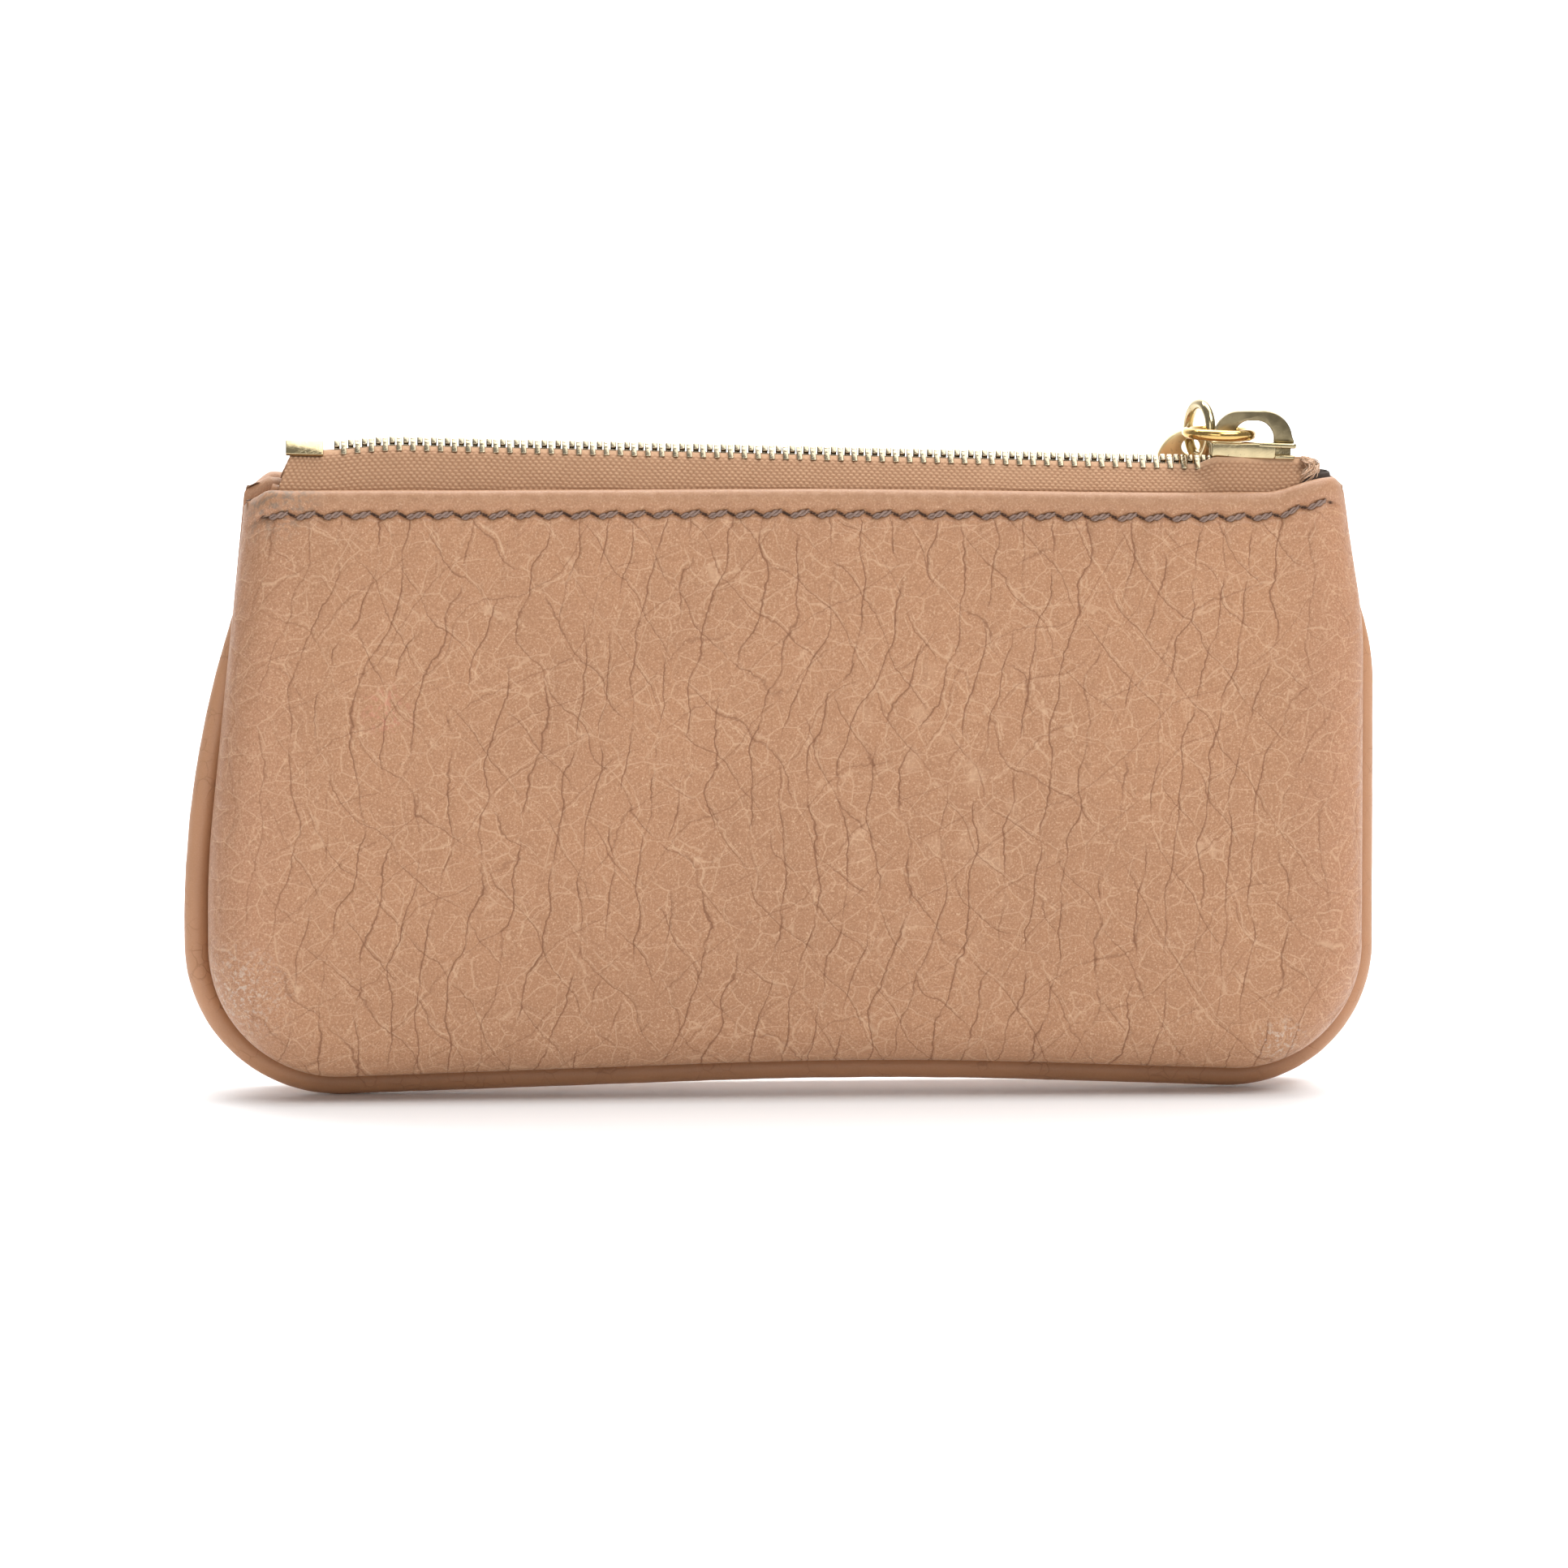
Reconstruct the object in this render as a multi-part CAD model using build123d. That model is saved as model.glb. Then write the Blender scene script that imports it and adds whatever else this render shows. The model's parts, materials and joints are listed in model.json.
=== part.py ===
from build123d import *
import math
import os

# A zippered leather pouch with a piped seam, in millimetres.
# X runs along the zip, Y from front (-) to back (+), Z up.
# The origin is the middle of the footprint, on the surface the pouch stands on.

# ---- overall sizes ----
pouch_width = 150.0          # over the piping
panel_height = 77.4          # top of the turned hem above the floor
belly_depth = 10.5           # half thickness where the bottom corner rounding ends
mouth_depth = 6.0            # half thickness at the hem

# ---- piping and the side seam ----
piping_radius = 1.65
cord_radius = 1.0
cord_clearance = 0.02
flange_width = 4.0           # sewn part of the piping strip, inward of the roll
flange_thickness = 1.0
left_corner_radius = 17.6    # piping centre line, bottom corners
right_corner_radius = 16.4
bottom_rise = 2.35           # how far the bottom seam arches off the floor
bottom_rise_x = 12.0
bottom_rise_radius = 600.0
piping_left_lean = 11.45     # how far the piping ends lean in at the mouth
piping_right_lean = 8.55
piping_right_taper = 0.35    # lean of the right side below that
piping_left_bend_z = 40.4    # where the left side starts to lean, above the floor
piping_right_drop = 20.0     # where the right side starts to lean, below the hem
piping_right_bend = 30.0
piping_end_drop = 0.4
corner_run = 1.06            # height a bottom corner takes up, in corner radii
long_bend_share = 0.95       # share of the straight left side taken by its long bend

# ---- leather panels ----
leather = 1.2
seam_half_gap = 0.8          # each panel's edge stands this far from the middle plane
seam_allowance = 4.0         # leather turned in along the seam
left_cover = 0.2             # panel edge, out from the piping's inner side
right_cover = 1.1
bottom_cover = 0.2
mouth_inset_left = 8.1       # hem corners, in from the overall width
mouth_inset_right = 4.6
panel_left_bend_z = 30.0     # where the left edge starts to lean, above the floor
panel_right_drop = 17.4      # where the right edge starts to lean, below the hem
panel_side_bend = 20.0
edge_rounding = 4.4
rounding_share = 0.85        # most of the wall that the rounding may take
piping_clearance = 0.3
hem_depth = 7.0              # leather folded in along the mouth
hem_fold = 1.0               # skived thickness of that fold
hem_end_inset = 7.0
fold_bite = 0.1              # the fold and the wall are one piece of leather

# ---- lining ----
lining = 0.4
lining_clearance = 0.2
lining_drop = 7.4            # lining stops this far below the hem

# ---- zip chain ----
chain_rise = 4.84            # tooth tips above the hem, at x = 0
chain_fall = 3.1156          # how much lower the right end of the chain sits
tooth_pitch = 1.72
tooth_width = 0.75
tooth_thickness = 1.2
tooth_reach = 0.5            # past the middle, between two teeth of the other row
tooth_leg = 1.9              # from the middle down the tape
tooth_grip = 0.9             # length of tape edge held by a tooth
tent_angle = 45.0            # each row leans out from the middle
chain_left_inset = 19.6      # first tooth, in from the overall width
chain_right_inset = 16.0

# ---- zip tapes ----
tape_thickness = 0.5
tape_left_margin = 7.2       # tape past the end of the chain
tape_right_margin = 7.2
tape_knee = 2.2              # length of tape beside the teeth, in line with them
hem_clearance = 0.2
grip_clearance = 0.02
tape_bury = 6.4              # depth of tape behind the hem
tape_turn = 0.2              # inner face meets the hem this far below the outer one

# ---- stops ----
stop_clearance = 0.15
bottom_stop_length = 4.6
bottom_stop_reach = 1.9
bottom_stop_thickness = 0.55
top_stop_length = 1.3
top_stop_gap = 0.3           # between the closed slider and the top stops

# ---- slider ----
slider_overlap = 5.3         # length of chain inside the closed slider
slider_length = 10.6
flange_length = 8.0
slider_narrow = 1.4          # half width where the chain leaves it
slider_wide = 2.9            # half width where the tapes part
slider_top = 1.64            # above the tooth tips
slider_skirt = 2.0           # height of the side flanges
slider_plate = 0.6
slider_corner = 0.45
lip_thickness = 0.5
lip_inset = 0.5              # in from the slider's side
lip_overlap = 0.1
post_length = 2.0
post_width = 0.6
post_inset = 0.4             # in from the slider's right end
keel_depth = 3.9             # underside of the lower plate, below the tooth tips
keel_thickness = 0.7
keel_half_width = 1.5
keel_inset = 0.5             # in from both ends of the slider

# ---- crown, rings and tag ----
crown_thickness = 1.5
crown_height = 3.8
crown_left_leg = 2.6
crown_right_leg = 2.6
crown_top_bar = 1.15
crown_left_round = 3.0
crown_right_round = 3.6
crown_left_hole_round = 2.0
crown_right_hole_round = 2.4
crown_inset = 0.4            # from the left end of the slider
link_wire = 0.7
link_radius = 3.95
link_clearance = 0.2
link_hinge_inset = 1.35      # ring's wire in from the crown's left leg
charm_wire = 0.65
charm_radius = 3.3
charm_clearance = 0.2
charm_angle = 109.0          # place on the link ring, from +X
tag_radius = 5.3
tag_thickness = 1.0
tag_edge = 0.25              # rounding of its rim
tag_hole_radius = 1.8
tag_rim = 0.7                # metal left between the hole and the edge
tag_ring_angle = -42.0       # where the charm ring passes the tag
tag_lean = 16.0              # tag leans out at the bottom
tag_roll = 20.0              # tag hangs to one side, against the hem

# ---- topstitching ----
stitch_pitch = 3.4
stitch_length = 2.3
stitch_radius = 0.28
stitch_drop = 3.4            # below the hem
stitch_slant = 9.0
stitch_clearance = 0.02
stitch_groove_width = 1.3    # pressed into the leather, so the thread lies flush
stitch_groove_depth = 0.62

# ---- how far the cutting shapes reach past what they cut ----
overcut = 2.0
window_overcut = 0.1

# ---- worked out from the sizes above ----
half_width = pouch_width / 2
piping_x = half_width - piping_radius
left_reveal = piping_radius - left_cover
right_reveal = piping_radius - right_cover
bottom_reveal = piping_radius - bottom_cover
panel_bottom = piping_radius + bottom_reveal
rounding_top = panel_bottom + edge_rounding
wall_slope = (belly_depth - mouth_depth) / (panel_height - rounding_top)
chain_left = -half_width + chain_left_inset
chain_right = half_width - chain_right_inset
chain_height = panel_height + chain_rise
chain_slope = math.degrees(math.atan(chain_fall / (chain_right - chain_left)))
slider_left = chain_right - slider_overlap
crown_hole_left = slider_left + crown_inset + crown_left_leg
link_hinge_x = crown_hole_left + link_wire + link_hinge_inset
link_centre_x = link_hinge_x - link_radius
link_z = slider_top + link_clearance + link_wire
charm_offset = charm_radius - charm_wire - link_wire - charm_clearance
stitch_z = panel_height - stitch_drop
stitch_left = -half_width + mouth_inset_left + edge_rounding
stitch_right = half_width - mouth_inset_right - edge_rounding

front, back = -1, 1


def wall_depth(z, inset=0.0):
    """Half thickness of the pouch at a height, inside a wall of the given thickness."""
    return mouth_depth + (panel_height - z) * wall_slope - inset


def seam_path():
    """Centre line of the piping, from the left end of the mouth round to the right end."""
    end_z = panel_height - piping_end_drop
    left_bend = piping_left_bend_z
    right_bend = panel_height - piping_right_drop
    points = [
        (-piping_x + piping_left_lean, 0, end_z),
        (-piping_x, 0, left_bend),
        (-piping_x, 0, piping_radius),
        (bottom_rise_x, 0, piping_radius + bottom_rise),
        (piping_x, 0, piping_radius),
        (piping_x - piping_right_taper, 0, right_bend),
        (piping_x - piping_right_lean, 0, end_z),
    ]
    lean = math.atan2(piping_left_lean, end_z - left_bend)
    straight = left_bend - piping_radius - corner_run * left_corner_radius
    left_bend_radius = long_bend_share * straight / math.tan(lean / 2)
    radii = [left_bend_radius, left_corner_radius, bottom_rise_radius, right_corner_radius, piping_right_bend]
    return FilletPolyline(*points, radius=radii)


def piping_section(path, sketch):
    """Set a sketch across the start of the seam, its X pointing into the pouch."""
    along = path % 0
    inward = Vector(-along.Z, 0, along.X)
    return Plane(origin=path @ 0, x_dir=inward, z_dir=along) * sketch


def make_piping_cover():
    path = seam_path()
    reach = piping_radius + flange_width
    flange = Pos(reach / 2, 0) * Rectangle(reach, flange_thickness)
    profile = Circle(piping_radius) + flange - Circle(cord_radius + cord_clearance)
    return sweep(piping_section(path, profile), path=path)


def make_piping_cord():
    path = seam_path()
    return sweep(piping_section(path, Circle(cord_radius)), path=path)


def piping_groove():
    path = seam_path()
    groove = sweep(piping_section(path, Circle(piping_radius + piping_clearance)), path=path)
    return groove


def pouch_outline(inset, top):
    """Front view of a panel, drawn in by an even margin, up to the given height."""
    left = -piping_x + left_reveal + inset
    right = piping_x - right_reveal - inset
    bottom = panel_bottom + inset
    points = [
        (-half_width + mouth_inset_left + inset, 0, top),
        (left, 0, panel_left_bend_z),
        (left, 0, bottom),
        (bottom_rise_x, 0, bottom + bottom_rise),
        (right, 0, bottom),
        (right, 0, panel_height - panel_right_drop),
        (half_width - mouth_inset_right - inset, 0, top),
    ]
    left_radius = left_corner_radius - left_reveal - inset
    right_radius = right_corner_radius - right_reveal - inset
    radii = [panel_side_bend, left_radius, bottom_rise_radius, right_radius, panel_side_bend]
    edge = FilletPolyline(*points, radius=radii)
    closing = Line(edge @ 1, edge @ 0)
    return make_face(edge.edges() + closing.edges())


def pocket_form(side, inset, seam, top, rounding):
    """Solid block filling one half of the pouch, inside a wall of the given thickness."""
    outline = pouch_outline(inset, top)
    prism = extrude(outline, amount=2 * belly_depth, dir=(0, side, 0))
    low = -overcut
    high = top + overcut
    profile = Polyline(
        (0, side * seam, low),
        (0, side * seam, high),
        (0, side * wall_depth(high, inset), high),
        (0, side * wall_depth(low, inset), low),
        close=True,
    )
    slab = extrude(make_face(profile), amount=pouch_width, both=True)
    block = prism & slab
    outer = block.faces().sort_by(Axis.Y)[0 if side < 0 else -1]
    rim = [edge for edge in outer.edges() if edge.center().Z < top - window_overcut]
    limit = rounding_share * (wall_depth(top, inset) - seam)
    return fillet(rim, radius=min(rounding, limit))


def seam_window(side, inset, reach, top):
    """Cut that leaves only the turned-in allowance along the seam."""
    return extrude(pouch_outline(inset, top), amount=reach, dir=(0, side, 0))


def turned_hem(side):
    """The fold of leather inside the mouth."""
    low = panel_height - hem_depth
    outer = leather - fold_bite
    inner = leather + hem_fold
    profile = Polyline(
        (0, side * wall_depth(low, outer), low),
        (0, side * wall_depth(panel_height, outer), panel_height),
        (0, side * wall_depth(panel_height, inner), panel_height),
        (0, side * wall_depth(low, inner), low),
        close=True,
    )
    left = -half_width + mouth_inset_left + hem_end_inset
    right = half_width - mouth_inset_right - hem_end_inset
    return Pos(left, 0, 0) * extrude(make_face(profile), amount=right - left, dir=(1, 0, 0))


def wall_lean(side):
    """Turn that lays an upright shape against the sloping wall."""
    return Rot(side * math.degrees(math.atan(wall_slope)), 0, 0)


def stitch_groove(side):
    """Shallow groove pressed into the wall along the stitch line."""
    groove = Box(stitch_right - stitch_left, 2 * stitch_groove_depth, stitch_groove_width)
    middle = (stitch_left + stitch_right) / 2
    return Pos(middle, side * wall_depth(stitch_z), stitch_z) * wall_lean(side) * groove


def make_panel(side):
    over = panel_height + overcut
    body = pocket_form(side, 0, seam_half_gap, panel_height, edge_rounding)
    cavity = pocket_form(side, leather, seam_half_gap + leather, over, edge_rounding - leather)
    window = seam_window(side, leather + seam_allowance, seam_half_gap + leather + window_overcut, over)
    wall = body - cavity - window - piping_groove() + turned_hem(side)
    pieces = (wall - stitch_groove(side)).solids()
    return pieces.sort_by(SortBy.VOLUME)[-1]  # without scraps that the trimming cuts off


def make_lining(side):
    inset = leather + lining_clearance
    seam = seam_half_gap + leather + lining_clearance
    top = panel_height - lining_drop
    over = panel_height + overcut
    body = pocket_form(side, inset, seam, top, edge_rounding - inset)
    cavity = pocket_form(side, inset + lining, seam + lining, over, edge_rounding - inset - lining)
    window = seam_window(side, leather + seam_allowance, seam + lining + window_overcut, over)
    return body - cavity - window


def chain_z(x):
    """Height of the tooth tips along the zip."""
    return chain_height - x * math.tan(math.radians(chain_slope))


def on_chain(shape):
    """Place a shape drawn with the chain along X and the tooth tips at z = 0."""
    return Pos(0, 0, chain_height) * Rot(0, chain_slope, 0) * shape


def tent_point(side, along, outward):
    """Point in the chain's cross-section: down the leaning tape, then out from it."""
    angle = math.radians(tent_angle)
    apex = -tooth_thickness / 2 / math.cos(angle)
    y = along * math.cos(angle) + outward * math.sin(angle)
    z = apex - along * math.sin(angle) + outward * math.cos(angle)
    return side * y, z


def tape_section(side, x):
    """Cross-section of a tape: tooth grip, knee, slope to the hem and the sewn part."""
    half = tape_thickness / 2
    top = tooth_leg - tooth_grip
    hem_y = wall_depth(panel_height, leather + hem_fold) - hem_clearance - tape_thickness
    low = panel_height - tape_bury
    low_y = wall_depth(low, leather + hem_fold) - hem_clearance - tape_thickness
    outer = [tent_point(side, top, half), tent_point(side, tape_knee, half)]
    inner = [tent_point(side, tape_knee, -half), tent_point(side, top, -half)]
    z = chain_z(x)
    points = [(x, y, h + z) for y, h in outer]
    points.append((x, side * (hem_y + tape_thickness), panel_height))
    points.append((x, side * (low_y + tape_thickness), low))
    points.append((x, side * low_y, low))
    points.append((x, side * hem_y, panel_height - tape_turn))
    points += [(x, y, h + z) for y, h in inner]
    return make_face(Polyline(*points, close=True))


def make_tape(side):
    left = tape_section(side, chain_left - tape_left_margin)
    right = tape_section(side, chain_right + tape_right_margin)
    return loft([left, right], ruled=True)


def make_tooth(side):
    """One tooth, gripping the tape edge, drawn at x = 0."""
    half = tooth_thickness / 2
    outline = [
        tent_point(side, -tooth_reach, half),
        tent_point(side, tooth_leg, half),
        tent_point(side, tooth_leg, -half),
        tent_point(side, -tooth_reach, -half),
    ]
    slot_half = tape_thickness / 2 + grip_clearance
    slot_top = tooth_leg - tooth_grip - grip_clearance
    slot = [
        tent_point(side, slot_top, slot_half),
        tent_point(side, tooth_leg + overcut, slot_half),
        tent_point(side, tooth_leg + overcut, -slot_half),
        tent_point(side, slot_top, -slot_half),
    ]
    block = section_block(outline, 0, tooth_width)
    return block - section_block(slot, 0, 2 * tooth_width)


def section_block(points, x, length):
    """Block with the given cross-section, centred on x along the chain."""
    outline = Polyline(*[(x - length / 2, y, z) for y, z in points], close=True)
    return extrude(make_face(outline), amount=length, dir=(1, 0, 0))


def make_teeth(side):
    start = chain_left if side == back else chain_left + tooth_pitch / 2
    count = int((chain_right - start) / tooth_pitch) + 1
    tooth = make_tooth(side)
    teeth = [on_chain(Pos(start + index * tooth_pitch, 0, 0) * tooth) for index in range(count)]
    return Compound(children=[solid for tooth_copy in teeth for solid in tooth_copy.solids()])


def make_bottom_stop():
    """Folded metal clip over the two tape edges at the closed end."""
    lift = tape_thickness / 2 + stop_clearance
    shell = lift + bottom_stop_thickness
    top = tooth_leg - tooth_grip
    points = [
        tent_point(front, bottom_stop_reach, shell),
        tent_point(front, bottom_stop_reach, lift),
        tent_point(front, -lift, lift),
        tent_point(back, bottom_stop_reach, lift),
        tent_point(back, bottom_stop_reach, shell),
        tent_point(back, -shell, shell),
    ]
    centre = chain_left - top - tooth_width - bottom_stop_length / 2
    return on_chain(section_block(points, centre, bottom_stop_length))


def make_top_stop(side):
    """Small clamp on one tape edge, past the closed slider."""
    half = tooth_thickness / 2
    start = half + stop_clearance / math.cos(math.radians(tent_angle))
    slot_half = tape_thickness / 2 + grip_clearance
    slot_top = tooth_leg - tooth_grip - grip_clearance
    outline = [
        tent_point(side, start, half),
        tent_point(side, tooth_leg, half),
        tent_point(side, tooth_leg, -half),
        tent_point(side, start, -half),
    ]
    slot = [
        tent_point(side, slot_top, slot_half),
        tent_point(side, tooth_leg + overcut, slot_half),
        tent_point(side, tooth_leg + overcut, -slot_half),
        tent_point(side, slot_top, -slot_half),
    ]
    centre = slider_left + slider_length + top_stop_gap + top_stop_length / 2
    block = section_block(outline, centre, top_stop_length)
    return on_chain(block - section_block(slot, centre, 2 * top_stop_length))


def slider_plan(inset, length, overrun):
    """Plan of the slider, narrow where the chain leaves it and wide where the tapes part."""
    narrow = slider_narrow - inset
    wide = slider_wide - inset
    points = [
        (slider_left - overrun, -narrow),
        (slider_left + length + overrun, -wide),
        (slider_left + length + overrun, wide),
        (slider_left - overrun, narrow),
    ]
    return make_face(Polyline(*points, close=True))


def make_slider_body():
    skirt_low = slider_top - slider_skirt
    roof_plan = slider_plan(0, slider_length, 0)
    skirt_plan = slider_plan(0, flange_length, 0)
    roof = extrude(fillet(roof_plan.vertices(), radius=slider_corner), amount=slider_plate)
    skirt = extrude(fillet(skirt_plan.vertices(), radius=slider_corner), amount=slider_skirt)
    channel = extrude(slider_plan(slider_plate, flange_length, overcut), amount=slider_skirt - slider_plate)
    shell = Pos(0, 0, skirt_low) * (skirt - channel) + Pos(0, 0, slider_top - slider_plate) * roof
    post_x = slider_left + slider_length - post_inset - post_length / 2
    post_height = slider_top - slider_plate / 2 + keel_depth
    post = Pos(post_x, 0, -keel_depth + post_height / 2) * Box(post_length, post_width, post_height)
    lip_x = slider_left + flange_length + (slider_length - flange_length) / 2 - lip_overlap
    lip = Pos(lip_x, 0, skirt_low + lip_thickness / 2) * Box(
        slider_length - flange_length, 2 * (slider_wide - lip_inset), lip_thickness)
    keel_x = slider_left + slider_length / 2
    keel = Pos(keel_x, 0, -keel_depth + keel_thickness / 2) * Box(
        slider_length - 2 * keel_inset, 2 * keel_half_width, keel_thickness)
    return on_chain(shell + post + lip + keel)


def make_slider_crown():
    """Upright D-shaped loop on the slider, with a hole for the link ring."""
    left = slider_left + crown_inset
    right = slider_left + slider_length
    base = slider_top
    top = base + crown_height
    outer_line = FilletPolyline(
        (left, 0, base), (left, 0, top), (right, 0, top), (right, 0, base),
        radius=[crown_left_round, crown_right_round])
    outer = make_face(outer_line.edges() + Line(outer_line @ 1, outer_line @ 0).edges())
    hole_left = crown_hole_left
    hole_right = right - crown_right_leg
    hole_top = top - crown_top_bar
    hole_line = FilletPolyline(
        (hole_left, 0, base - overcut), (hole_left, 0, hole_top), (hole_right, 0, hole_top),
        (hole_right, 0, base - overcut), radius=[crown_left_hole_round, crown_right_hole_round])
    hole = make_face(hole_line.edges() + Line(hole_line @ 1, hole_line @ 0).edges())
    plate = extrude(outer - hole, amount=crown_thickness / 2, both=True)
    return on_chain(plate)


def make_link_ring():
    ring = Pos(link_centre_x, 0, link_z) * Torus(link_radius, link_wire)
    return on_chain(ring)


def charm_frame():
    """Where the charm ring loops round the link ring: outward, tangent and its centre."""
    angle = math.radians(charm_angle)
    outward = Vector(math.cos(angle), math.sin(angle), 0)
    tangent = Vector(-math.sin(angle), math.cos(angle), 0)
    centre = Vector(link_centre_x, 0, link_z) + outward * (link_radius + charm_offset)
    return outward, tangent, centre


def make_charm_ring():
    outward, tangent, centre = charm_frame()
    plane = Plane(origin=centre, x_dir=outward, z_dir=tangent)
    return on_chain(plane * Torus(charm_radius, charm_wire))


def make_round_tag():
    """Plain round tag, hanging from the charm ring behind the back hem."""
    outward, tangent, centre = charm_frame()
    angle = math.radians(tag_ring_angle)
    hole_place = centre + outward * charm_radius * math.cos(angle) + Vector(0, 0, charm_radius * math.sin(angle))
    hole_offset = tag_radius - tag_rim - tag_hole_radius
    disc = Cylinder(tag_radius, tag_thickness)
    rim = disc.edges().filter_by(GeomType.CIRCLE)
    disc = fillet(rim, radius=tag_edge)
    tag = disc - Pos(0, hole_offset, 0) * Cylinder(tag_hole_radius, 2 * tag_thickness)
    hung = Rot(0, 0, tag_roll) * Pos(0, -hole_offset, 0) * tag
    upright = Rot(90 + tag_lean, 0, 0) * hung
    return on_chain(Pos(hole_place.X, hole_place.Y, hole_place.Z) * upright)


def make_stitching(side):
    """Run of topstitches holding hem and tape, each lying in the groove."""
    y = side * (wall_depth(stitch_z) - stitch_groove_depth + stitch_radius + stitch_clearance)
    count = int((stitch_right - stitch_left) / stitch_pitch)
    start = (stitch_left + stitch_right - (count - 1) * stitch_pitch) / 2
    stitch = Rot(0, 90, 0) * Cylinder(stitch_radius, stitch_length)
    slanted = wall_lean(side) * Rot(0, stitch_slant, 0) * stitch
    solids = []
    for index in range(count):
        placed = Pos(start + index * stitch_pitch, y, stitch_z) * slanted
        solids += placed.solids()
    return Compound(children=solids)


def write(name, shape):
    shape.label = name
    export_step(shape, f"parts/{name}.step")


os.makedirs("parts", exist_ok=True)
for side_name, side in (("front", front), ("back", back)):
    write(f"{side_name}_panel", make_panel(side))
    write(f"{side_name}_lining", make_lining(side))
    write(f"{side_name}_zip_tape", make_tape(side))
    write(f"{side_name}_zip_teeth", make_teeth(side))
    write(f"{side_name}_top_stop", make_top_stop(side))
    write(f"{side_name}_stitching", make_stitching(side))
write("piping_cover", make_piping_cover())
write("piping_cord", make_piping_cord())
write("bottom_stop", make_bottom_stop())
write("slider_body", make_slider_body())
write("slider_crown", make_slider_crown())
write("link_ring", make_link_ring())
write("charm_ring", make_charm_ring())
write("round_tag", make_round_tag())
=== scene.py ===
import json
import math
import random

import bmesh
import bpy
import numpy as np
from bpy.props import FloatProperty, FloatVectorProperty, IntProperty, PointerProperty
from mathutils import Matrix, Vector


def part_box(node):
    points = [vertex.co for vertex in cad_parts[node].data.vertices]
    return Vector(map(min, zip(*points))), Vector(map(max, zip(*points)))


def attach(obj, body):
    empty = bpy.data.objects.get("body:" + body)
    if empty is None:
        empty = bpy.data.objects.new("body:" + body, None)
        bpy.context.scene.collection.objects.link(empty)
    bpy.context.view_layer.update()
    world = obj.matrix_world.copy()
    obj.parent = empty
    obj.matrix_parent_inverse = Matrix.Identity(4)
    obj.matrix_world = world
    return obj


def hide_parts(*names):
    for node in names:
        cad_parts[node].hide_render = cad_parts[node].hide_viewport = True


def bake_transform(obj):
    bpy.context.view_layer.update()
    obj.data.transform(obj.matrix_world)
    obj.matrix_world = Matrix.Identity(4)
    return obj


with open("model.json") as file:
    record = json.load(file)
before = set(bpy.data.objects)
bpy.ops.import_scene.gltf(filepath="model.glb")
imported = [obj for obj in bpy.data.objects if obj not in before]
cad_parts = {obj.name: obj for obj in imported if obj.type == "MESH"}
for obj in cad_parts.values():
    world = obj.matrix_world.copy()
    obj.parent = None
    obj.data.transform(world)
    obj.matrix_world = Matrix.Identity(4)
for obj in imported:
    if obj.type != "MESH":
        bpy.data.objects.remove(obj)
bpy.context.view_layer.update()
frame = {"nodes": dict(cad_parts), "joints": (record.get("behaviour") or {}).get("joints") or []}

bl_info = {
    "name": "Zippered Pouch",
    "version": (1, 0, 0),
    "blender": (4, 5, 0),
    "location": "View3D > Sidebar > Pouch",
    "description": "Leather, piping, zip and pull of a small zippered pouch, built on its packed frame",
    "category": "Add Mesh",
}

MM = 0.001
TINY = 1e-9


def node_box(name):
    """Lowest and highest corners of a frame node, in millimetres."""
    low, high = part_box(name)
    return np.array(low) / MM, np.array(high) / MM


PANEL_LOW, PANEL_HIGH = node_box("front_panel")
PIPING_LOW, PIPING_HIGH = node_box("piping_cover")
TAPE_LOW, TAPE_HIGH = node_box("front_zip_tape")
BACK_TEETH_LOW, BACK_TEETH_HIGH = node_box("back_zip_teeth")
FRONT_TEETH_HIGH = node_box("front_zip_teeth")[1]
CROWN_LOW, CROWN_HIGH = node_box("slider_crown")
LINK_LOW, LINK_HIGH = node_box("link_ring")
CHARM_LOW, CHARM_HIGH = node_box("charm_ring")
BOTTOM_STOP_LOW, BOTTOM_STOP_HIGH = node_box("bottom_stop")
TOP_STOP_LOW, TOP_STOP_HIGH = node_box("front_top_stop")
JOINTS = {joint["name"]: joint for joint in frame["joints"]}


def length_property(name, description, default_mm):
    return FloatProperty(name=name, description=description, default=default_mm * MM, unit="LENGTH",
                         precision=5)


def colour_property(name, description, default):
    return FloatVectorProperty(name=name, description=description, default=default, size=3, subtype="COLOR")


class PouchLeather(bpy.types.PropertyGroup):
    """Sizes of the leather, its piping and its stitches."""

    wrap_radius: length_property("Edge rounding", "Radius of the leather where it turns to the seam", 5.4)
    seam_half_gap: length_property("Seam gap", "Half the gap between the two panels at the seam", 0.5)
    tuck: length_property("Seam tuck", "How far the side seams sink in at the mouth", 6.0)
    hem_roll: length_property("Hem roll", "Radius of the rolled edge along the mouth", 1.15)
    hem_inside: length_property("Hem inside", "Depth of leather folded into the mouth", 6.5)
    grid_step: length_property("Leather grid", "Distance between vertices over the leather", 0.36)
    fullness: length_property("Fullness", "How far the middle of a panel swells", 0.7)
    piping_radius: length_property("Piping radius", "Radius of the covered filler", 1.65)
    stitch_drop: length_property("Stitch drop", "Stitch line below the mouth", 3.4)
    stitch_pitch: length_property("Stitch pitch", "Distance from stitch to stitch", 3.4)
    stitch_length: length_property("Stitch length", "Length of thread that shows", 2.35)
    stitch_radius: length_property("Thread radius", "Radius of one ply of the thread", 0.21)


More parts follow.
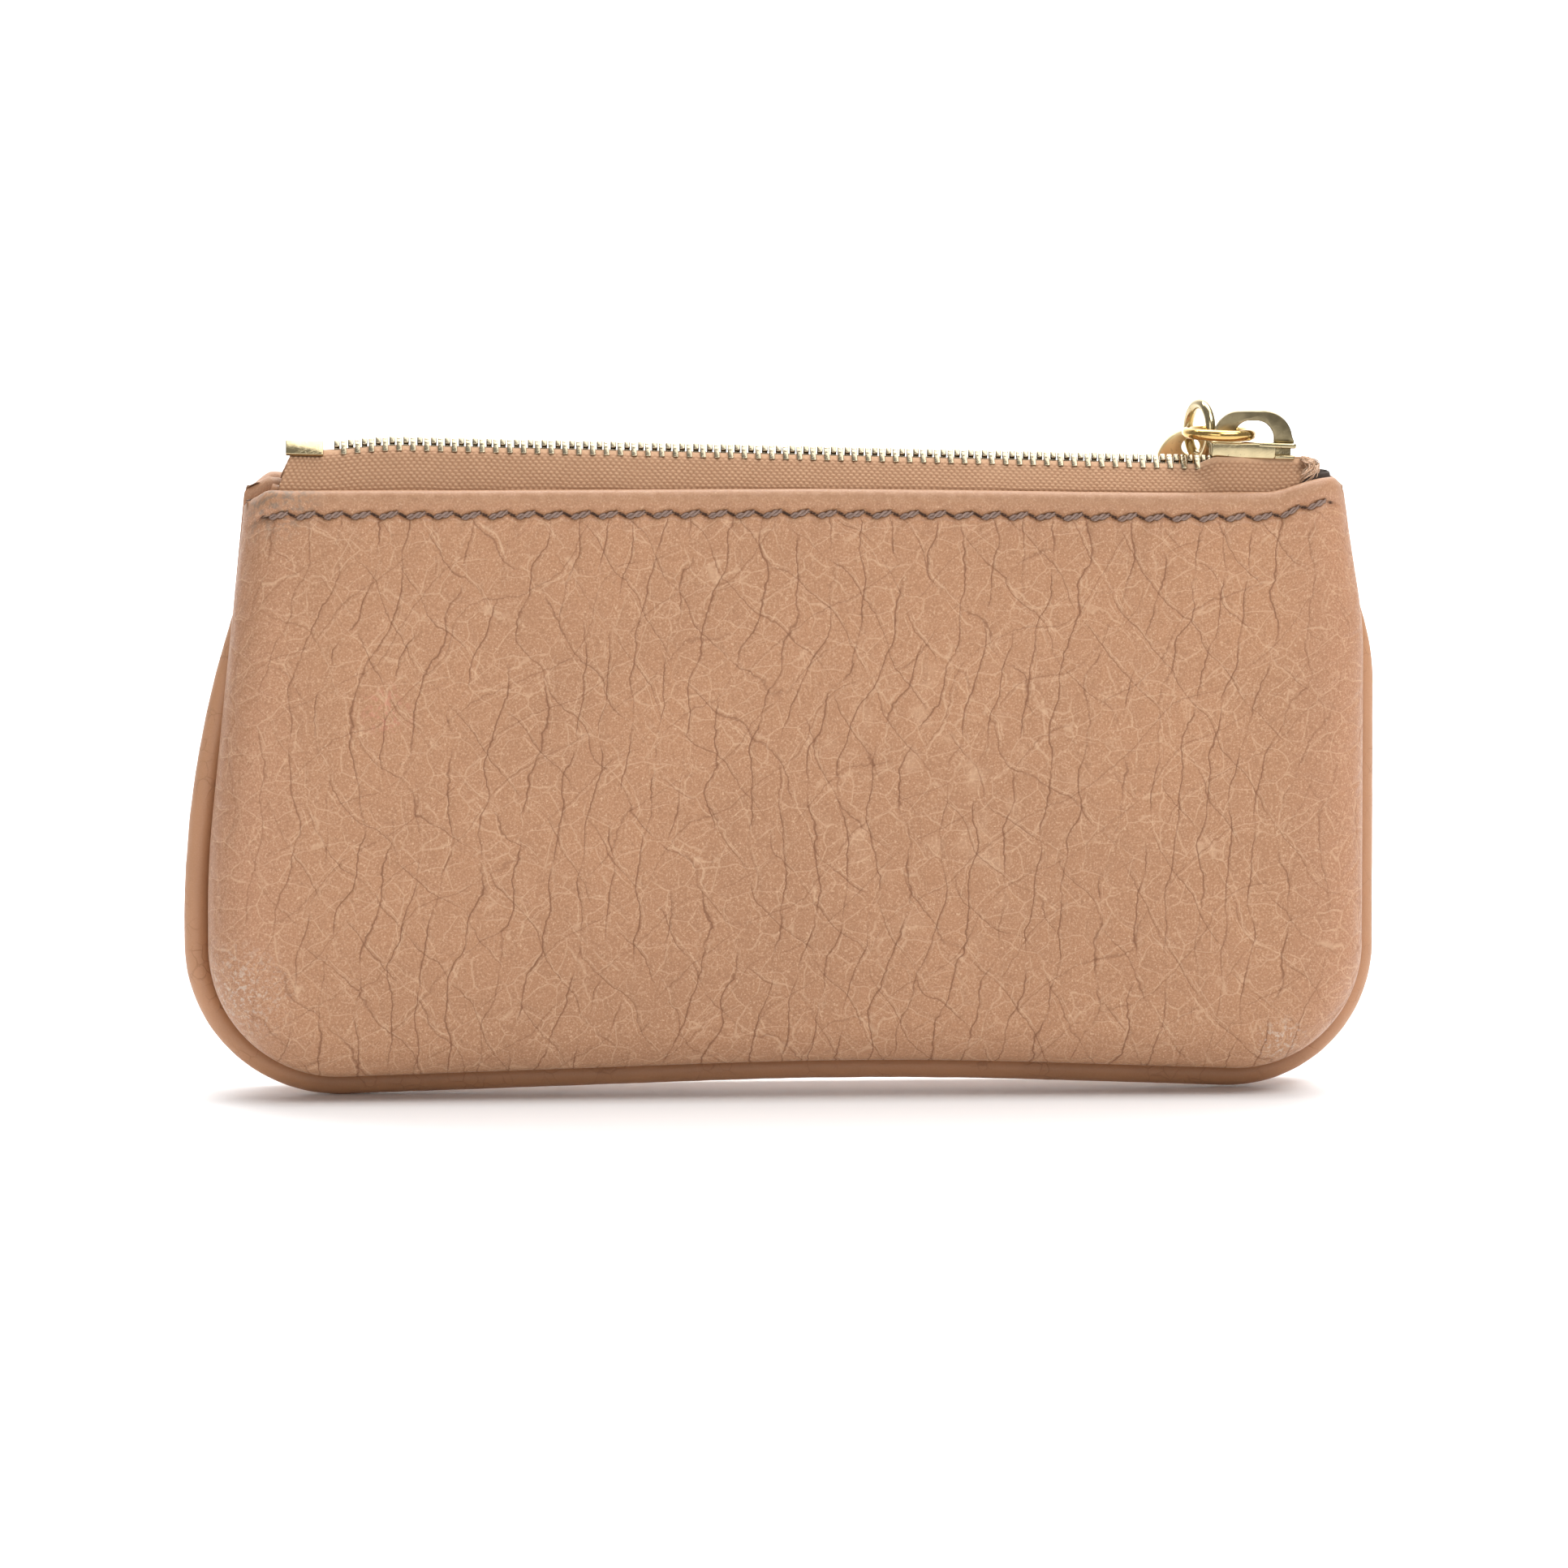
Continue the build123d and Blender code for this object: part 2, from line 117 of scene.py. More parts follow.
class PouchZip(bpy.types.PropertyGroup):
    """Sizes of the zip and its pull."""

    tooth_pitch: length_property("Tooth pitch", "Distance from tooth to tooth on one tape", 1.72)
    tooth_width: length_property("Tooth width", "Width of a tooth along the zip", 0.72)
    tooth_thickness: length_property("Tooth thickness", "Height of a tooth across the tape", 1.2)
    weave_pitch: length_property("Weave pitch", "Width of one loop of the tape's weave", 0.74)
    weave_row: length_property("Weave row", "Height of one row of the tape's weave", 0.46)
    weave_depth: length_property("Weave depth", "Height of the loops", 0.2)
    metal_edge: length_property("Metal edge", "Rounding of the slider's edges", 0.16)
    link_wire: length_property("Link wire", "Wire radius of the link ring", 0.7)
    charm_wire: length_property("Charm wire", "Wire radius of the charm ring", 0.65)


class PouchColours(bpy.types.PropertyGroup):
    """Colours of the pouch."""

    leather: colour_property("Leather", "Leather between its creases", (0.414, 0.210, 0.110))
    # pale leather paints pale grain and the net, and also painted highlights: a patch, lines beside the
    # creases and the hem roll
    leather_pale: colour_property("Pale leather", "Leather on rubbed edges and lines", (0.60, 0.385, 0.240))
    # crease colour is painted shade in the panel's creases, the piping's wrinkles and under the piping
    leather_dark: colour_property("Crease", "Leather deep in its creases", (0.20, 0.082, 0.038))
    piping: colour_property("Piping", "Leather of the piping", (0.47, 0.235, 0.118))
    tape: colour_property("Tape", "Zip tape", (0.60, 0.37, 0.225))
    tape_dark: colour_property("Tape shadow", "Gaps of the tape's weave", (0.27, 0.13, 0.065))
    thread: colour_property("Thread", "Topstitching", (0.30, 0.205, 0.165))
    lining: colour_property("Lining", "Cloth lining", (0.075, 0.058, 0.050))
    gold: colour_property("Gold", "Plated slider, ring and stop", (0.56, 0.46, 0.27))
    gold_warm: colour_property("Warm gold", "Plated link ring", (0.66, 0.43, 0.15))
    tooth: colour_property("Tooth", "Worn plating of the teeth", (0.46, 0.39, 0.27))
    floor: colour_property("Floor", "Studio floor and backdrop", (0.93, 0.93, 0.935))


# ---------------------------------------------------------------- shader kit


class Wire:
    """A shader socket that Python arithmetic works on: each operator adds a Math node."""

    def __init__(self, finish, socket):
        self.finish = finish
        self.socket = socket

    def maths(self, operation, *values):
        return self.finish.add("ShaderNodeMath", {"operation": operation}, dict(enumerate(values)))

    def __add__(self, other):
        return self.maths("ADD", self, other)

    def __radd__(self, other):
        return self.maths("ADD", other, self)

    def __sub__(self, other):
        return self.maths("SUBTRACT", self, other)

    def __rsub__(self, other):
        return self.maths("SUBTRACT", other, self)

    def __mul__(self, other):
        return self.maths("MULTIPLY", self, other)

    def __rmul__(self, other):
        return self.maths("MULTIPLY", other, self)

    def __truediv__(self, other):
        return self.maths("DIVIDE", self, other)

    def __rtruediv__(self, other):
        return self.maths("DIVIDE", other, self)

    def __abs__(self):
        return self.maths("ABSOLUTE", self)

    def fraction(self):
        return self.maths("FRACT", self)

    def at_least(self, other):
        return self.maths("MAXIMUM", self, other)

    def at_most(self, other):
        return self.maths("MINIMUM", self, other)


class Finish:
    """The node tree of one material, with the few moves that its recipes need."""

    def __init__(self, name):
        self.material = bpy.data.materials.new(name)
        self.material.use_nodes = True
        self.tree = self.material.node_tree
        self.tree.nodes.clear()
        self.place = self.add("ShaderNodeAttribute", {"attribute_name": "place"}, {}, 1)

    def add(self, kind, settings, sockets, output=0):
        """Add a node: its settings first, then the values or links of its sockets."""
        node = self.tree.nodes.new(kind)
        for name, value in settings.items():
            setattr(node, name, value)
        for key, value in sockets.items():
            if isinstance(value, Wire):
                self.tree.links.new(value.socket, node.inputs[key])
            else:
                node.inputs[key].default_value = value
        return Wire(self, node.outputs[output]) if node.outputs else None

    def vector(self, operation, first, second):
        return self.add("ShaderNodeVectorMath", {"operation": operation}, {0: first, 1: second})

    def distance(self, point):
        sockets = {0: self.place, 1: point}
        return self.add("ShaderNodeVectorMath", {"operation": "DISTANCE"}, sockets, "Value")

    def noise(self, place, size, detail=2.0, roughness=0.5):
        sockets = {"Vector": place, "Scale": 1.0 / size, "Detail": detail, "Roughness": roughness}
        return self.add("ShaderNodeTexNoise", {"noise_dimensions": "3D"}, sockets)

    def noise_vector(self, place, size, reach):
        """A wandering offset of up to about the given reach."""
        sockets = {"Vector": place, "Scale": 1.0 / size, "Detail": 1.0}
        cloud = self.add("ShaderNodeTexNoise", {"noise_dimensions": "3D"}, sockets, "Color")
        centred = self.vector("SUBTRACT", cloud, (0.5, 0.5, 0.5))
        return self.vector("MULTIPLY", centred, (2 * reach, 2 * reach, 2 * reach))

    def cells(self, place):
        """Distance to the edges of random cells."""
        settings = {"feature": "DISTANCE_TO_EDGE", "voronoi_dimensions": "3D"}
        return self.add("ShaderNodeTexVoronoi", settings, {"Vector": place, "Scale": 1.0})

    def stretch(self, place, sizes, turn=(0.0, 0.0, 0.0)):
        scale = tuple(1.0 / size for size in sizes)
        turned = self.add("ShaderNodeMapping", {"vector_type": "POINT"}, {"Vector": place, "Rotation": turn})
        return self.vector("MULTIPLY", turned, scale)

    def ease(self, value, low, high, start=0.0, end=1.0):
        """Smooth step from start to end as value goes from low to high."""
        settings = {"interpolation_type": "SMOOTHSTEP"}
        sockets = {"Value": value, "From Min": low, "From Max": high, "To Min": start, "To Max": end}
        return self.add("ShaderNodeMapRange", settings, sockets)

    def mix(self, factor, first, second):
        """Mix of two colours, through the colour sockets of the Mix node."""
        return self.add("ShaderNodeMix", {"data_type": "RGBA"}, {0: factor, 6: first, 7: second}, 2)

    def axis(self, name):
        return self.add("ShaderNodeSeparateXYZ", {}, {"Vector": self.place}, name)

    def field(self, name):
        """A number stored with each vertex."""
        return self.add("ShaderNodeAttribute", {"attribute_name": name}, {}, 2)

    def near(self, point, inner, outer):
        """1 within inner of a point, falling to 0 at outer, in millimetres."""
        return self.ease(self.distance(point), inner, outer, 1.0, 0.0)

    def patches(self, size, low, high, detail=2.0, roughness=0.5):
        """Random patches, 0 outside and 1 inside."""
        return self.ease(self.noise(self.place, size, detail, roughness), low, high)

    def thin(self, gap, width, end=0.0):
        """1 on a line, falling off over a width."""
        return self.ease(gap, end, width, 1.0, 0.0)

    def close(self, colour, roughness, height=None, constants=None):
        """Feed the shader and the output. Heights are in millimetres."""
        sockets = {"Base Color": colour, "Roughness": roughness}
        if height is not None:
            bump = {"Height": height, "Distance": MM, "Strength": 1.0}
            sockets["Normal"] = self.add("ShaderNodeBump", {}, bump)
        sockets.update(constants or {})
        shader = self.add("ShaderNodeBsdfPrincipled", {}, sockets)
        self.add("ShaderNodeOutputMaterial", {}, {"Surface": shader})
        return self.material


def solid(colour, tint=1.0):
    """Opaque colour, made darker or lighter."""
    return (*(min(1.0, part * tint) for part in colour), 1.0)


# name, spacing, crease width, strength, patch offset and pale share (painted highlight lines) of each family
# of creases
CREASES = (
    ("upright_creases", 4.1, 0.17, 1.0, 0.0, 0.55),
    ("falling_creases", 5.3, 0.14, 0.75, 11.0, 1.0),
    ("rising_creases", 6.1, 0.13, 0.55, 23.0, 0.7),
)
# place of the paler twin and of a second pale line beside a crease, both painted highlights, in millimetres
TWIN_GAP, SECOND_GAP = 0.34, 0.62
CREASE_WANDER = 0.8


def crease_family(f, name, spacing):
    """Distances in millimetres to the nearest of a family of wandering creases, and to its paler twin, a
    painted highlight line.
    """
    steps = f.field(name) + (f.noise(f.place, 1.3, 2.0) - 0.5) * (CREASE_WANDER / spacing)
    share = steps.fraction()
    return abs((share - 0.5) * spacing), abs((share - 0.5) * spacing - TWIN_GAP)


def creases(f):
    """Painted shade in the creases, painted highlight lines beside them, and how deep they press."""
    dark, pale, relief = 0.0, 0.0, 0.0
    for name, spacing, width, strength, patch, fade in CREASES:
        gap, beside = crease_family(f, name, spacing)
        shown = f.ease(f.noise(f.vector("ADD", f.place, (patch, patch, patch)), 6.5, 2.0), 0.34, 0.56)
        twin = f.thin(beside, 0.13) * f.patches(1.7 + 0.2 * patch, 0.46, 0.62)
        second = f.thin(abs(gap - SECOND_GAP), 0.11) * f.patches(2.3 + 0.2 * patch, 0.52, 0.66)
        dark = dark + f.thin(gap, width) * shown * strength
        pale = pale + (twin + second) * fade
        relief = relief - f.ease(gap, 0.0, 0.42, 0.07, 0.0) * shown * strength
    return dark.at_most(1.0), pale.at_most(1.0), relief


def marks_and_seam_shade(f, tone):
    """Soiled and scuffed spots of the hem and corners, the painted shade of the pressed stitch line, and one
    red stain.
    """
    soil = f.near((PANEL_LOW[0] + 9.0, -6.0, HEM_TOP - 0.8), 2.0, 7.0) * f.patches(0.7, 0.44, 0.62, 3.0, 0.65)
    tone = f.mix(soil * 0.6, tone, solid((0.17, 0.145, 0.115)))
    # painted shade in the dark pressed line that joins the stitches
    tone = f.mix(f.ease(f.field("seam"), 0.30, 0.80) * 0.92, tone, solid((0.055, 0.025, 0.014)))
    scuff = f.near((PANEL_LOW[0] + 4.0, -7.0, PANEL_LOW[2] + 11.0), 1.5, 9.0)
    scuff = scuff.at_least(f.near((PANEL_HIGH[0] - 10.5, -10.0, PANEL_LOW[2] + 4.0), 0.8, 4.5))
    scuff = scuff * f.patches(0.55, 0.50, 0.62, 3.0, 0.7)
    tone = f.mix(scuff * 0.5, tone, solid((0.62, 0.55, 0.47)))
    stain = f.near((-49.5, -9.0, 50.0), 0.8, 4.5) * f.patches(0.8, 0.5, 0.62)
    return f.mix(stain * 0.3, tone, solid((0.60, 0.19, 0.15))), scuff


def pebbled_leather(colours):
    """Creased leather: painted shade in the crossing creases and along the stitch line, painted highlight
    lines beside the creases, a painted highlight patch and one along the hem roll, fine grain and wear.
    """
    f = Finish("pebbled_leather")
    x, z = f.axis("X"), f.axis("Z")
    smooth_edge = f.ease(x, -72.0, -56.0, 1.0, 0.0).at_least(f.ease(x, 60.0, 72.0, 0.0, 1.0))
    below_hem = f.ease(z, HEM_TOP - 4.4, HEM_TOP - 3.2, 1.0, 0.0)
    depth = (1.0 - 0.72 * smooth_edge) * below_hem
    dark, pale, relief = creases(f)
    # net of fine pale lines in two sizes
    wander = f.vector("ADD", f.place, f.noise_vector(f.place, 2.6, 0.6))
    cross = f.cells(f.stretch(wander, (4.4, 4.0, 3.4), (0.0, 0.35, 0.0)))
    small = f.cells(f.stretch(wander, (1.9, 2.0, 1.5), (0.0, 0.8, 0.0)))
    net = f.thin(cross, 0.030) * f.patches(3.1, 0.34, 0.52)
    net = net.at_least(f.thin(small, 0.045) * f.patches(2.4, 0.50, 0.64) * 0.7)
    pores = f.noise(f.place, 0.26, 3.0, 0.75)
    patch = f.noise(f.place, 24.0, 3.0)
    # painted highlight: a paler, less rough patch at the middle right of the front
    painted_highlight = f.patches(4.0, 0.52, 0.72) * f.near((22.0, -10.0, 40.0), 8.0, 26.0)
    leather, pale_leather = colours.leather, solid(colours.leather_pale)
    pink = (leather[0] * 0.99, leather[1] * 0.97, leather[2] * 1.08)
    tone = f.mix(f.ease(patch, 0.35, 0.65), solid(leather, 0.93), solid(leather))
    tone = f.mix(smooth_edge * 0.6, tone, solid(pink))
    tone = f.mix(f.ease(pores, 0.30, 0.50, 0.70, 0.0), tone, solid(leather, 0.68))
    # pale grain, pale specks, a painted highlight patch, painted highlight lines beside the creases and the
    # pale net
    light = (f.ease(pores, 0.50, 0.70, 0.0, 0.72), f.patches(0.42, 0.69, 0.76, 1.0) * 0.7, painted_highlight * 0.30,
             pale * 0.64 * depth, net * 0.52 * below_hem)
    for factor in light:
        tone = f.mix(factor, tone, pale_leather)
    # painted shade in the creases
    tone = f.mix(dark * 0.86 * depth, tone, solid(colours.leather_dark))
    # hem: darker band towards the top, and a mottled painted highlight up the roll
    mottle = f.ease(f.noise(f.place, 0.9, 3.0, 0.7), 0.35, 0.65, 0.35, 1.0)
    hem = f.ease(z, HEM_TOP - 2.9, HEM_TOP - 1.2) * mottle
    tone = f.mix(f.ease(z, HEM_TOP - 2.9, HEM_TOP - 0.6) * 0.48, tone, solid(leather, 0.7))
    # the hem's painted highlight goes on, then soil, scuffs, the stain and the painted shade along the stitch
    # line
    tone, scuff = marks_and_seam_shade(f, f.mix(hem * 0.18, tone, pale_leather))
    height = relief * depth + pores * 0.028 + f.noise(f.place, 0.9, 3.0) * 0.05
    height = height + f.ease(cross, 0.0, 0.22) * 0.085 * below_hem
    roughness = 0.50 + dark * 0.15 - f.ease(patch, 0.4, 0.7) * 0.05 + scuff * 0.2 - painted_highlight * 0.06
    return f.close(tone, roughness, height, {"Specular IOR Level": 0.36})


def smooth_leather(colours):
    """Thin leather stretched round the piping, with short cross wrinkles, painted shade in them and a little
    painted shade underneath.
    """
    f = Finish("piping_leather")
    wander = f.vector("ADD", f.place, f.noise_vector(f.place, 2.5, 0.5))
    lines = f.cells(f.stretch(wander, (1.9, 1.2, 1.9)))
    line = f.thin(lines, 0.06) * f.patches(4.0, 0.46, 0.66)
    patch = f.noise(f.place, 14.0, 3.0)
    pores = f.noise(f.place, 0.2, 2.0)
    painted_shade_below = f.ease(f.axis("Z"), 0.2, 2.4, 1.0, 0.0)
    tone = f.mix(f.ease(patch, 0.35, 0.65), solid(colours.piping, 0.9), solid(colours.piping))
    tone = f.mix(f.ease(f.axis("Z"), 4.0, 30.0) * 0.45, tone, solid(colours.leather))
    # painted shade in the wrinkles
    tone = f.mix(line * 0.3, tone, solid(colours.leather_dark))
    tone = f.mix(f.ease(pores, 0.4, 0.8) * 0.12, tone, solid(colours.leather_pale))
    # painted shade under the piping, near the floor
    tone = f.mix(painted_shade_below * 0.05, tone, solid(colours.leather_dark))
    height = pores * 0.012 - line * 0.03 + f.noise(f.place, 0.9, 2.0) * 0.05
    return f.close(tone, 0.43 + line * 0.2, height, {"Specular IOR Level": 0.45})


def tape_cloth(colours):
    """Woven tape: the loops are modelled, the yarn's twist and its shaded gaps are here."""
    f = Finish("tape_cloth")
    gap = f.field("gap")
    strand = f.noise(f.stretch(f.place, (0.5, 0.2, 0.12), (0.0, 0.7, 0.0)), 1.0, 2.0)
    patch = f.noise(f.place, 12.0, 2.0)
    tone = f.mix(gap * 0.85, solid(colours.tape), solid(colours.tape_dark))
    tone = f.mix(f.ease(strand, 0.35, 0.7) * 0.22, tone, solid(colours.leather_pale))
    tone = f.mix(f.ease(patch, 0.5, 0.75) * 0.25, tone, solid(colours.tape, 0.8))
    return f.close(tone, 0.82 + gap * 0.1, strand * 0.05, {"Specular IOR Level": 0.25, "Sheen Weight": 0.15})


def lining_cloth(colours):
    """Dark twill."""
    f = Finish("lining_cloth")
    slope = f.stretch(f.place, (0.5, 0.5, 0.5), (0.0, 0.78, 0.0))
    sockets = {"Vector": slope, "Scale": 1.0, "Distortion": 0.6, "Detail": 1.0}
    twill = f.add("ShaderNodeTexWave", {"wave_type": "BANDS", "bands_direction": "X"}, sockets, "Fac")
    fuzz = f.noise(f.place, 0.4, 3.0)
    tone = f.mix(f.ease(twill, 0.2, 0.8), solid(colours.lining, 0.6), solid(colours.lining))
    tone = f.mix(f.ease(fuzz, 0.5, 0.8) * 0.25, tone, solid((0.16, 0.13, 0.11)))
    return f.close(tone, 0.88 + fuzz * 0.05, twill * 0.05, {"Specular IOR Level": 0.2})


def thread_cloth(colours):
    """Waxed two-ply thread."""
    f = Finish("thread")
    fibre = f.noise(f.stretch(f.place, (0.6, 0.08, 0.08), (0.0, 0.5, 0.0)), 1.0, 2.0)
    tone = f.mix(f.ease(fibre, 0.3, 0.7), solid(colours.thread, 0.7), solid(colours.thread))
    tone = f.mix(f.patches(5.0, 0.5, 0.8) * 0.3, tone, solid((0.36, 0.26, 0.21)))
    return f.close(tone, 0.5 + fibre * 0.15, fibre * 0.03, {"Specular IOR Level": 0.4})


def loose_thread_cloth(colours):
    """Frayed ends of the tape."""
    f = Finish("frayed_tape")
    fibre = f.noise(f.place, 0.25, 2.0)
    pale = (colours.tape[0] * 1.3, colours.tape[1] * 1.6, colours.tape[2] * 2.0)
    tone = f.mix(f.ease(fibre, 0.35, 0.7), solid(colours.tape), solid(pale))
    return f.close(tone, 0.85 + fibre * 0.05, fibre * 0.02, {"Specular IOR Level": 0.2})


def filler_cloth(colours):
    """Undyed cotton filler inside the piping."""
    f = Finish("filler_cotton")
    metres = f.add("ShaderNodeTexCoord", {}, {}, 3)
    fibre = f.noise(f.add("ShaderNodeVectorMath", {"operation": "SCALE"}, {0: metres, 3: 1.0 / MM}), 0.4, 2.0)
    tone = f.mix(f.ease(fibre, 0.3, 0.7), solid((0.62, 0.57, 0.48)), solid((0.78, 0.74, 0.66)))
    return f.close(tone, 0.88 + fibre * 0.04, fibre * 0.05)


def plated_metal(name, colour, roughness, tarnish, tint=1.0):
    """Polished plating with fine scratches, dull spots and worn patches."""
    f = Finish(name)
    colour = solid(colour, tint)[:3]
    scratch = f.noise(f.stretch(f.place, (3.0, 3.0, 0.05), (0.3, 0.5, 0.2)), 1.0, 2.0, 0.6)
    fine = f.ease(scratch, 0.60, 0.70)
    spots = f.patches(0.5, 0.58, 0.70, 3.0, 0.7)
    patch = f.noise(f.place, 2.6, 2.0)
    tone = f.mix(f.ease(patch, 0.3, 0.7), solid(colour, tarnish), solid(colour))
    tone = f.mix(spots * 0.35, tone, solid(colour, 0.5))
    tone = f.mix(fine * 0.25, tone, solid(colour, 1.25))
    rough = roughness + fine * 0.12 + spots * 0.22 + patch * 0.06
    height = f.noise(f.place, 1.4, 2.0) * 0.02 - fine * 0.002
    return f.close(tone, rough, height, {"Metallic": 1.0})


def studio_white(colours):
    f = Finish("studio_floor")
    return f.close(solid(colours.floor), 0.7, None, {"Specular IOR Level": 0.15})


RECIPES = {
    "leather": pebbled_leather,
    "piping_leather": smooth_leather,
    "tape_cloth": tape_cloth,
    "lining_cloth": lining_cloth,
    "thread": thread_cloth,
    "frayed": loose_thread_cloth,
    "filler_cord": filler_cloth,
    "gold_metal": lambda colours: plated_metal("gold_plating", colours.gold, 0.12, 0.80),
    "crown_metal": lambda colours: plated_metal("crown_plating", colours.gold, 0.26, 0.55, 0.62),
    "tag_metal": lambda colours: plated_metal("tag_plating", colours.gold, 0.42, 0.95, 1.6),
    "link_metal": lambda colours: plated_metal("link_plating", colours.gold_warm, 0.10, 0.85),
    "tooth_metal": lambda colours: plated_metal("tooth_plating", colours.tooth, 0.20, 0.80),
    "studio": studio_white,
}
made_finishes = {}


def finish_of(slot):
    if slot not in made_finishes:
        made_finishes[slot] = RECIPES[slot](bpy.context.scene.pouch_colours)
    return made_finishes[slot]


# ---------------------------------------------------------------- mesh kit


def smooth_step(low, high, value):
    """0 before low, 1 after high, and a smooth rise between."""
    t = np.clip((np.asarray(value, float) - low) / (high - low), 0.0, 1.0)
    return t * t * (3.0 - 2.0 * t)


def make_piece(name, points, faces, slot, normals=None, extra=None):
    """Mesh object from points in millimetres, with its rest places and other fields for the materials."""
    points = np.asarray(points, float)
    mesh = bpy.data.meshes.new(name)
    mesh.from_pydata((points * MM).tolist(), [], [list(map(int, face)) for face in faces])
    mesh.update()
    mesh.polygons.foreach_set("use_smooth", [True] * len(mesh.polygons))
    extra = dict(extra or {})
    place = mesh.attributes.new("place", "FLOAT_VECTOR", "POINT")
    place.data.foreach_set("vector", np.asarray(extra.pop("place", points), np.float32).ravel())
    for key, values in extra.items():
        layer = mesh.attributes.new(key, "FLOAT", "POINT")
        layer.data.foreach_set("value", np.asarray(values, np.float32))
    if normals is not None:
        mesh.normals_split_custom_set_from_vertices(normals.tolist())
    piece = bpy.data.objects.new(name, mesh)
    bpy.context.scene.collection.objects.link(piece)
    mesh.materials.append(finish_of(slot))
    return piece


def settle(piece, body, nodes):
    """Ride a body and stand for frame nodes."""
    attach(piece, body)
    if nodes:
        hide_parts(*nodes)
    return piece


def settle_back(name, points, faces, nodes, slot, extra=None):
    """A piece that rides the back half."""
    settle(make_piece(name, points, faces, slot, None, extra), "back_half", nodes)


def settle_front(name, points, faces, nodes, slot, extra=None):
    """Two halves of a front piece."""
    points = np.asarray(points, float)
    faces = [list(map(int, face)) for face in faces]
    whole = make_piece(name + "_whole", points, faces, slot)
    normals = np.zeros(len(points) * 3, np.float32)
    whole.data.vertex_normals.foreach_get("vector", normals)
    normals = normals.reshape(-1, 3)
    bpy.data.meshes.remove(whole.data)
    centres = np.array([points[face, 0].mean() for face in faces])
    for side, chosen, start_x in (("left", centres < 0, MOUTH_LEFT), ("right", centres >= 0, MOUTH_RIGHT)):
        part = [face for face, keep in zip(faces, chosen) if keep]
        if not part:
            continue
        used = np.unique(np.concatenate([np.array(face) for face in part]))
        renumber = {old: new for new, old in enumerate(used)}
        part = [[renumber[index] for index in face] for face in part]
        some = {key: np.asarray(values)[used] for key, values in (extra or {}).items()}
        piece = make_piece(f"{name}_{side}", points[used], part, slot, normals[used], some)
        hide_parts(*nodes)
        start_x * MM
        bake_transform(piece)


HALVES = ((-1, "front", settle_front), (1, "back", settle_back))


def grid_faces(rows, columns, closed_rows=False, closed_columns=False, offset=0, flip=False):
    """Quads of a grid whose points run column by column along each row."""
    faces = []
    for r in range(rows if closed_rows else rows - 1):
        for c in range(columns if closed_columns else columns - 1):
            r2, c2 = (r + 1) % rows, (c + 1) % columns
            face = [r * columns + c, r * columns + c2, r2 * columns + c2, r2 * columns + c]
            faces.append([offset + index for index in (face[::-1] if flip else face)])
    return faces


def rounded_line(points, radii, step):
    """Even points, in the XZ plane, along straight runs joined by arcs."""
    points = [np.array(point, float) for point in points]
    path = [points[0]]
    for before, corner, after, radius in zip(points, points[1:], points[2:], radii):
        into = (before - corner) / np.linalg.norm(before - corner)
        out = (after - corner) / np.linalg.norm(after - corner)
        half = math.acos(np.clip(np.dot(into, out), -1, 1)) / 2
        run = radius / math.tan(half)
        centre = corner + (into + out) / np.linalg.norm(into + out) * radius / math.sin(half)
        first, last = corner + into * run - centre, corner + out * run - centre
        sweep = math.pi - 2 * half
        turn = math.copysign(1.0, first[0] * last[1] - first[1] * last[0])
        for t in np.linspace(0, 1, 33):
            angle = turn * sweep * t
            cos, sin = math.cos(angle), math.sin(angle)
            path.append(centre + np.array([cos * first[0] - sin * first[1], sin * first[0] + cos * first[1]]))
    path.append(points[-1])
    return even_points(np.array(path), step)


def run_lengths(path):
    """Length along a line at each of its points."""
    return np.r_[0, np.cumsum(np.linalg.norm(np.diff(path, axis=0), axis=1))]


def at_lengths(path, wanted):
    """Points of a line at the given lengths along it."""
    lengths = run_lengths(path)
    return np.stack([np.interp(wanted, lengths, path[:, k]) for k in range(path.shape[1])], 1)


def even_points(path, step):
    """The same line with evenly spaced points."""
    total = run_lengths(path)[-1]
    return at_lengths(path, np.linspace(0, total, max(2, int(round(total / step)) + 1)))


def at_shares(path, shares):
    """Points of a line at the given shares of its length."""
    return at_lengths(path, np.asarray(shares) * run_lengths(path)[-1])


def unit_normals(path):
    """Unit vectors across a plane line, to the left of its direction."""
    tangent = np.gradient(path, axis=0)
    tangent /= np.linalg.norm(tangent, axis=1)[:, None] + TINY
    return np.stack([-tangent[:, 1], tangent[:, 0]], 1)


def end_caps(sections, around, start=0):
    """Faces that close both ends of a tube."""
    last = start + (sections - 1) * around
    return [list(range(start, start + around)), list(range(last, last + around))[::-1]]


def nearest_distance(points, line):
    """Distance from each point to a line, both in the XZ plane."""
    found = np.full(len(points), 1e9)
    for start, end in zip(line[:-1], line[1:]):
        run = end - start
        t = np.clip(((points - start) @ run) / (run @ run), 0, 1)
        gap = points - start - t[:, None] * run
        found = np.minimum(found, np.hypot(gap[:, 0], gap[:, 1]))
    return found


def ripple(x, z, size, seed):
    """Smooth random field from a few crossing waves."""
    rng = random.Random(seed)
    total = np.zeros_like(np.asarray(x, float))
    for _ in range(7):
        angle = rng.uniform(0, 2 * math.pi)
        wave = rng.uniform(0.7, 1.6) * 2 * math.pi / size
        total += np.sin((math.cos(angle) * x + math.sin(angle) * z) * wave + rng.uniform(0, 2 * math.pi))
    return total / 7


# ---------------------------------------------------------------- leather


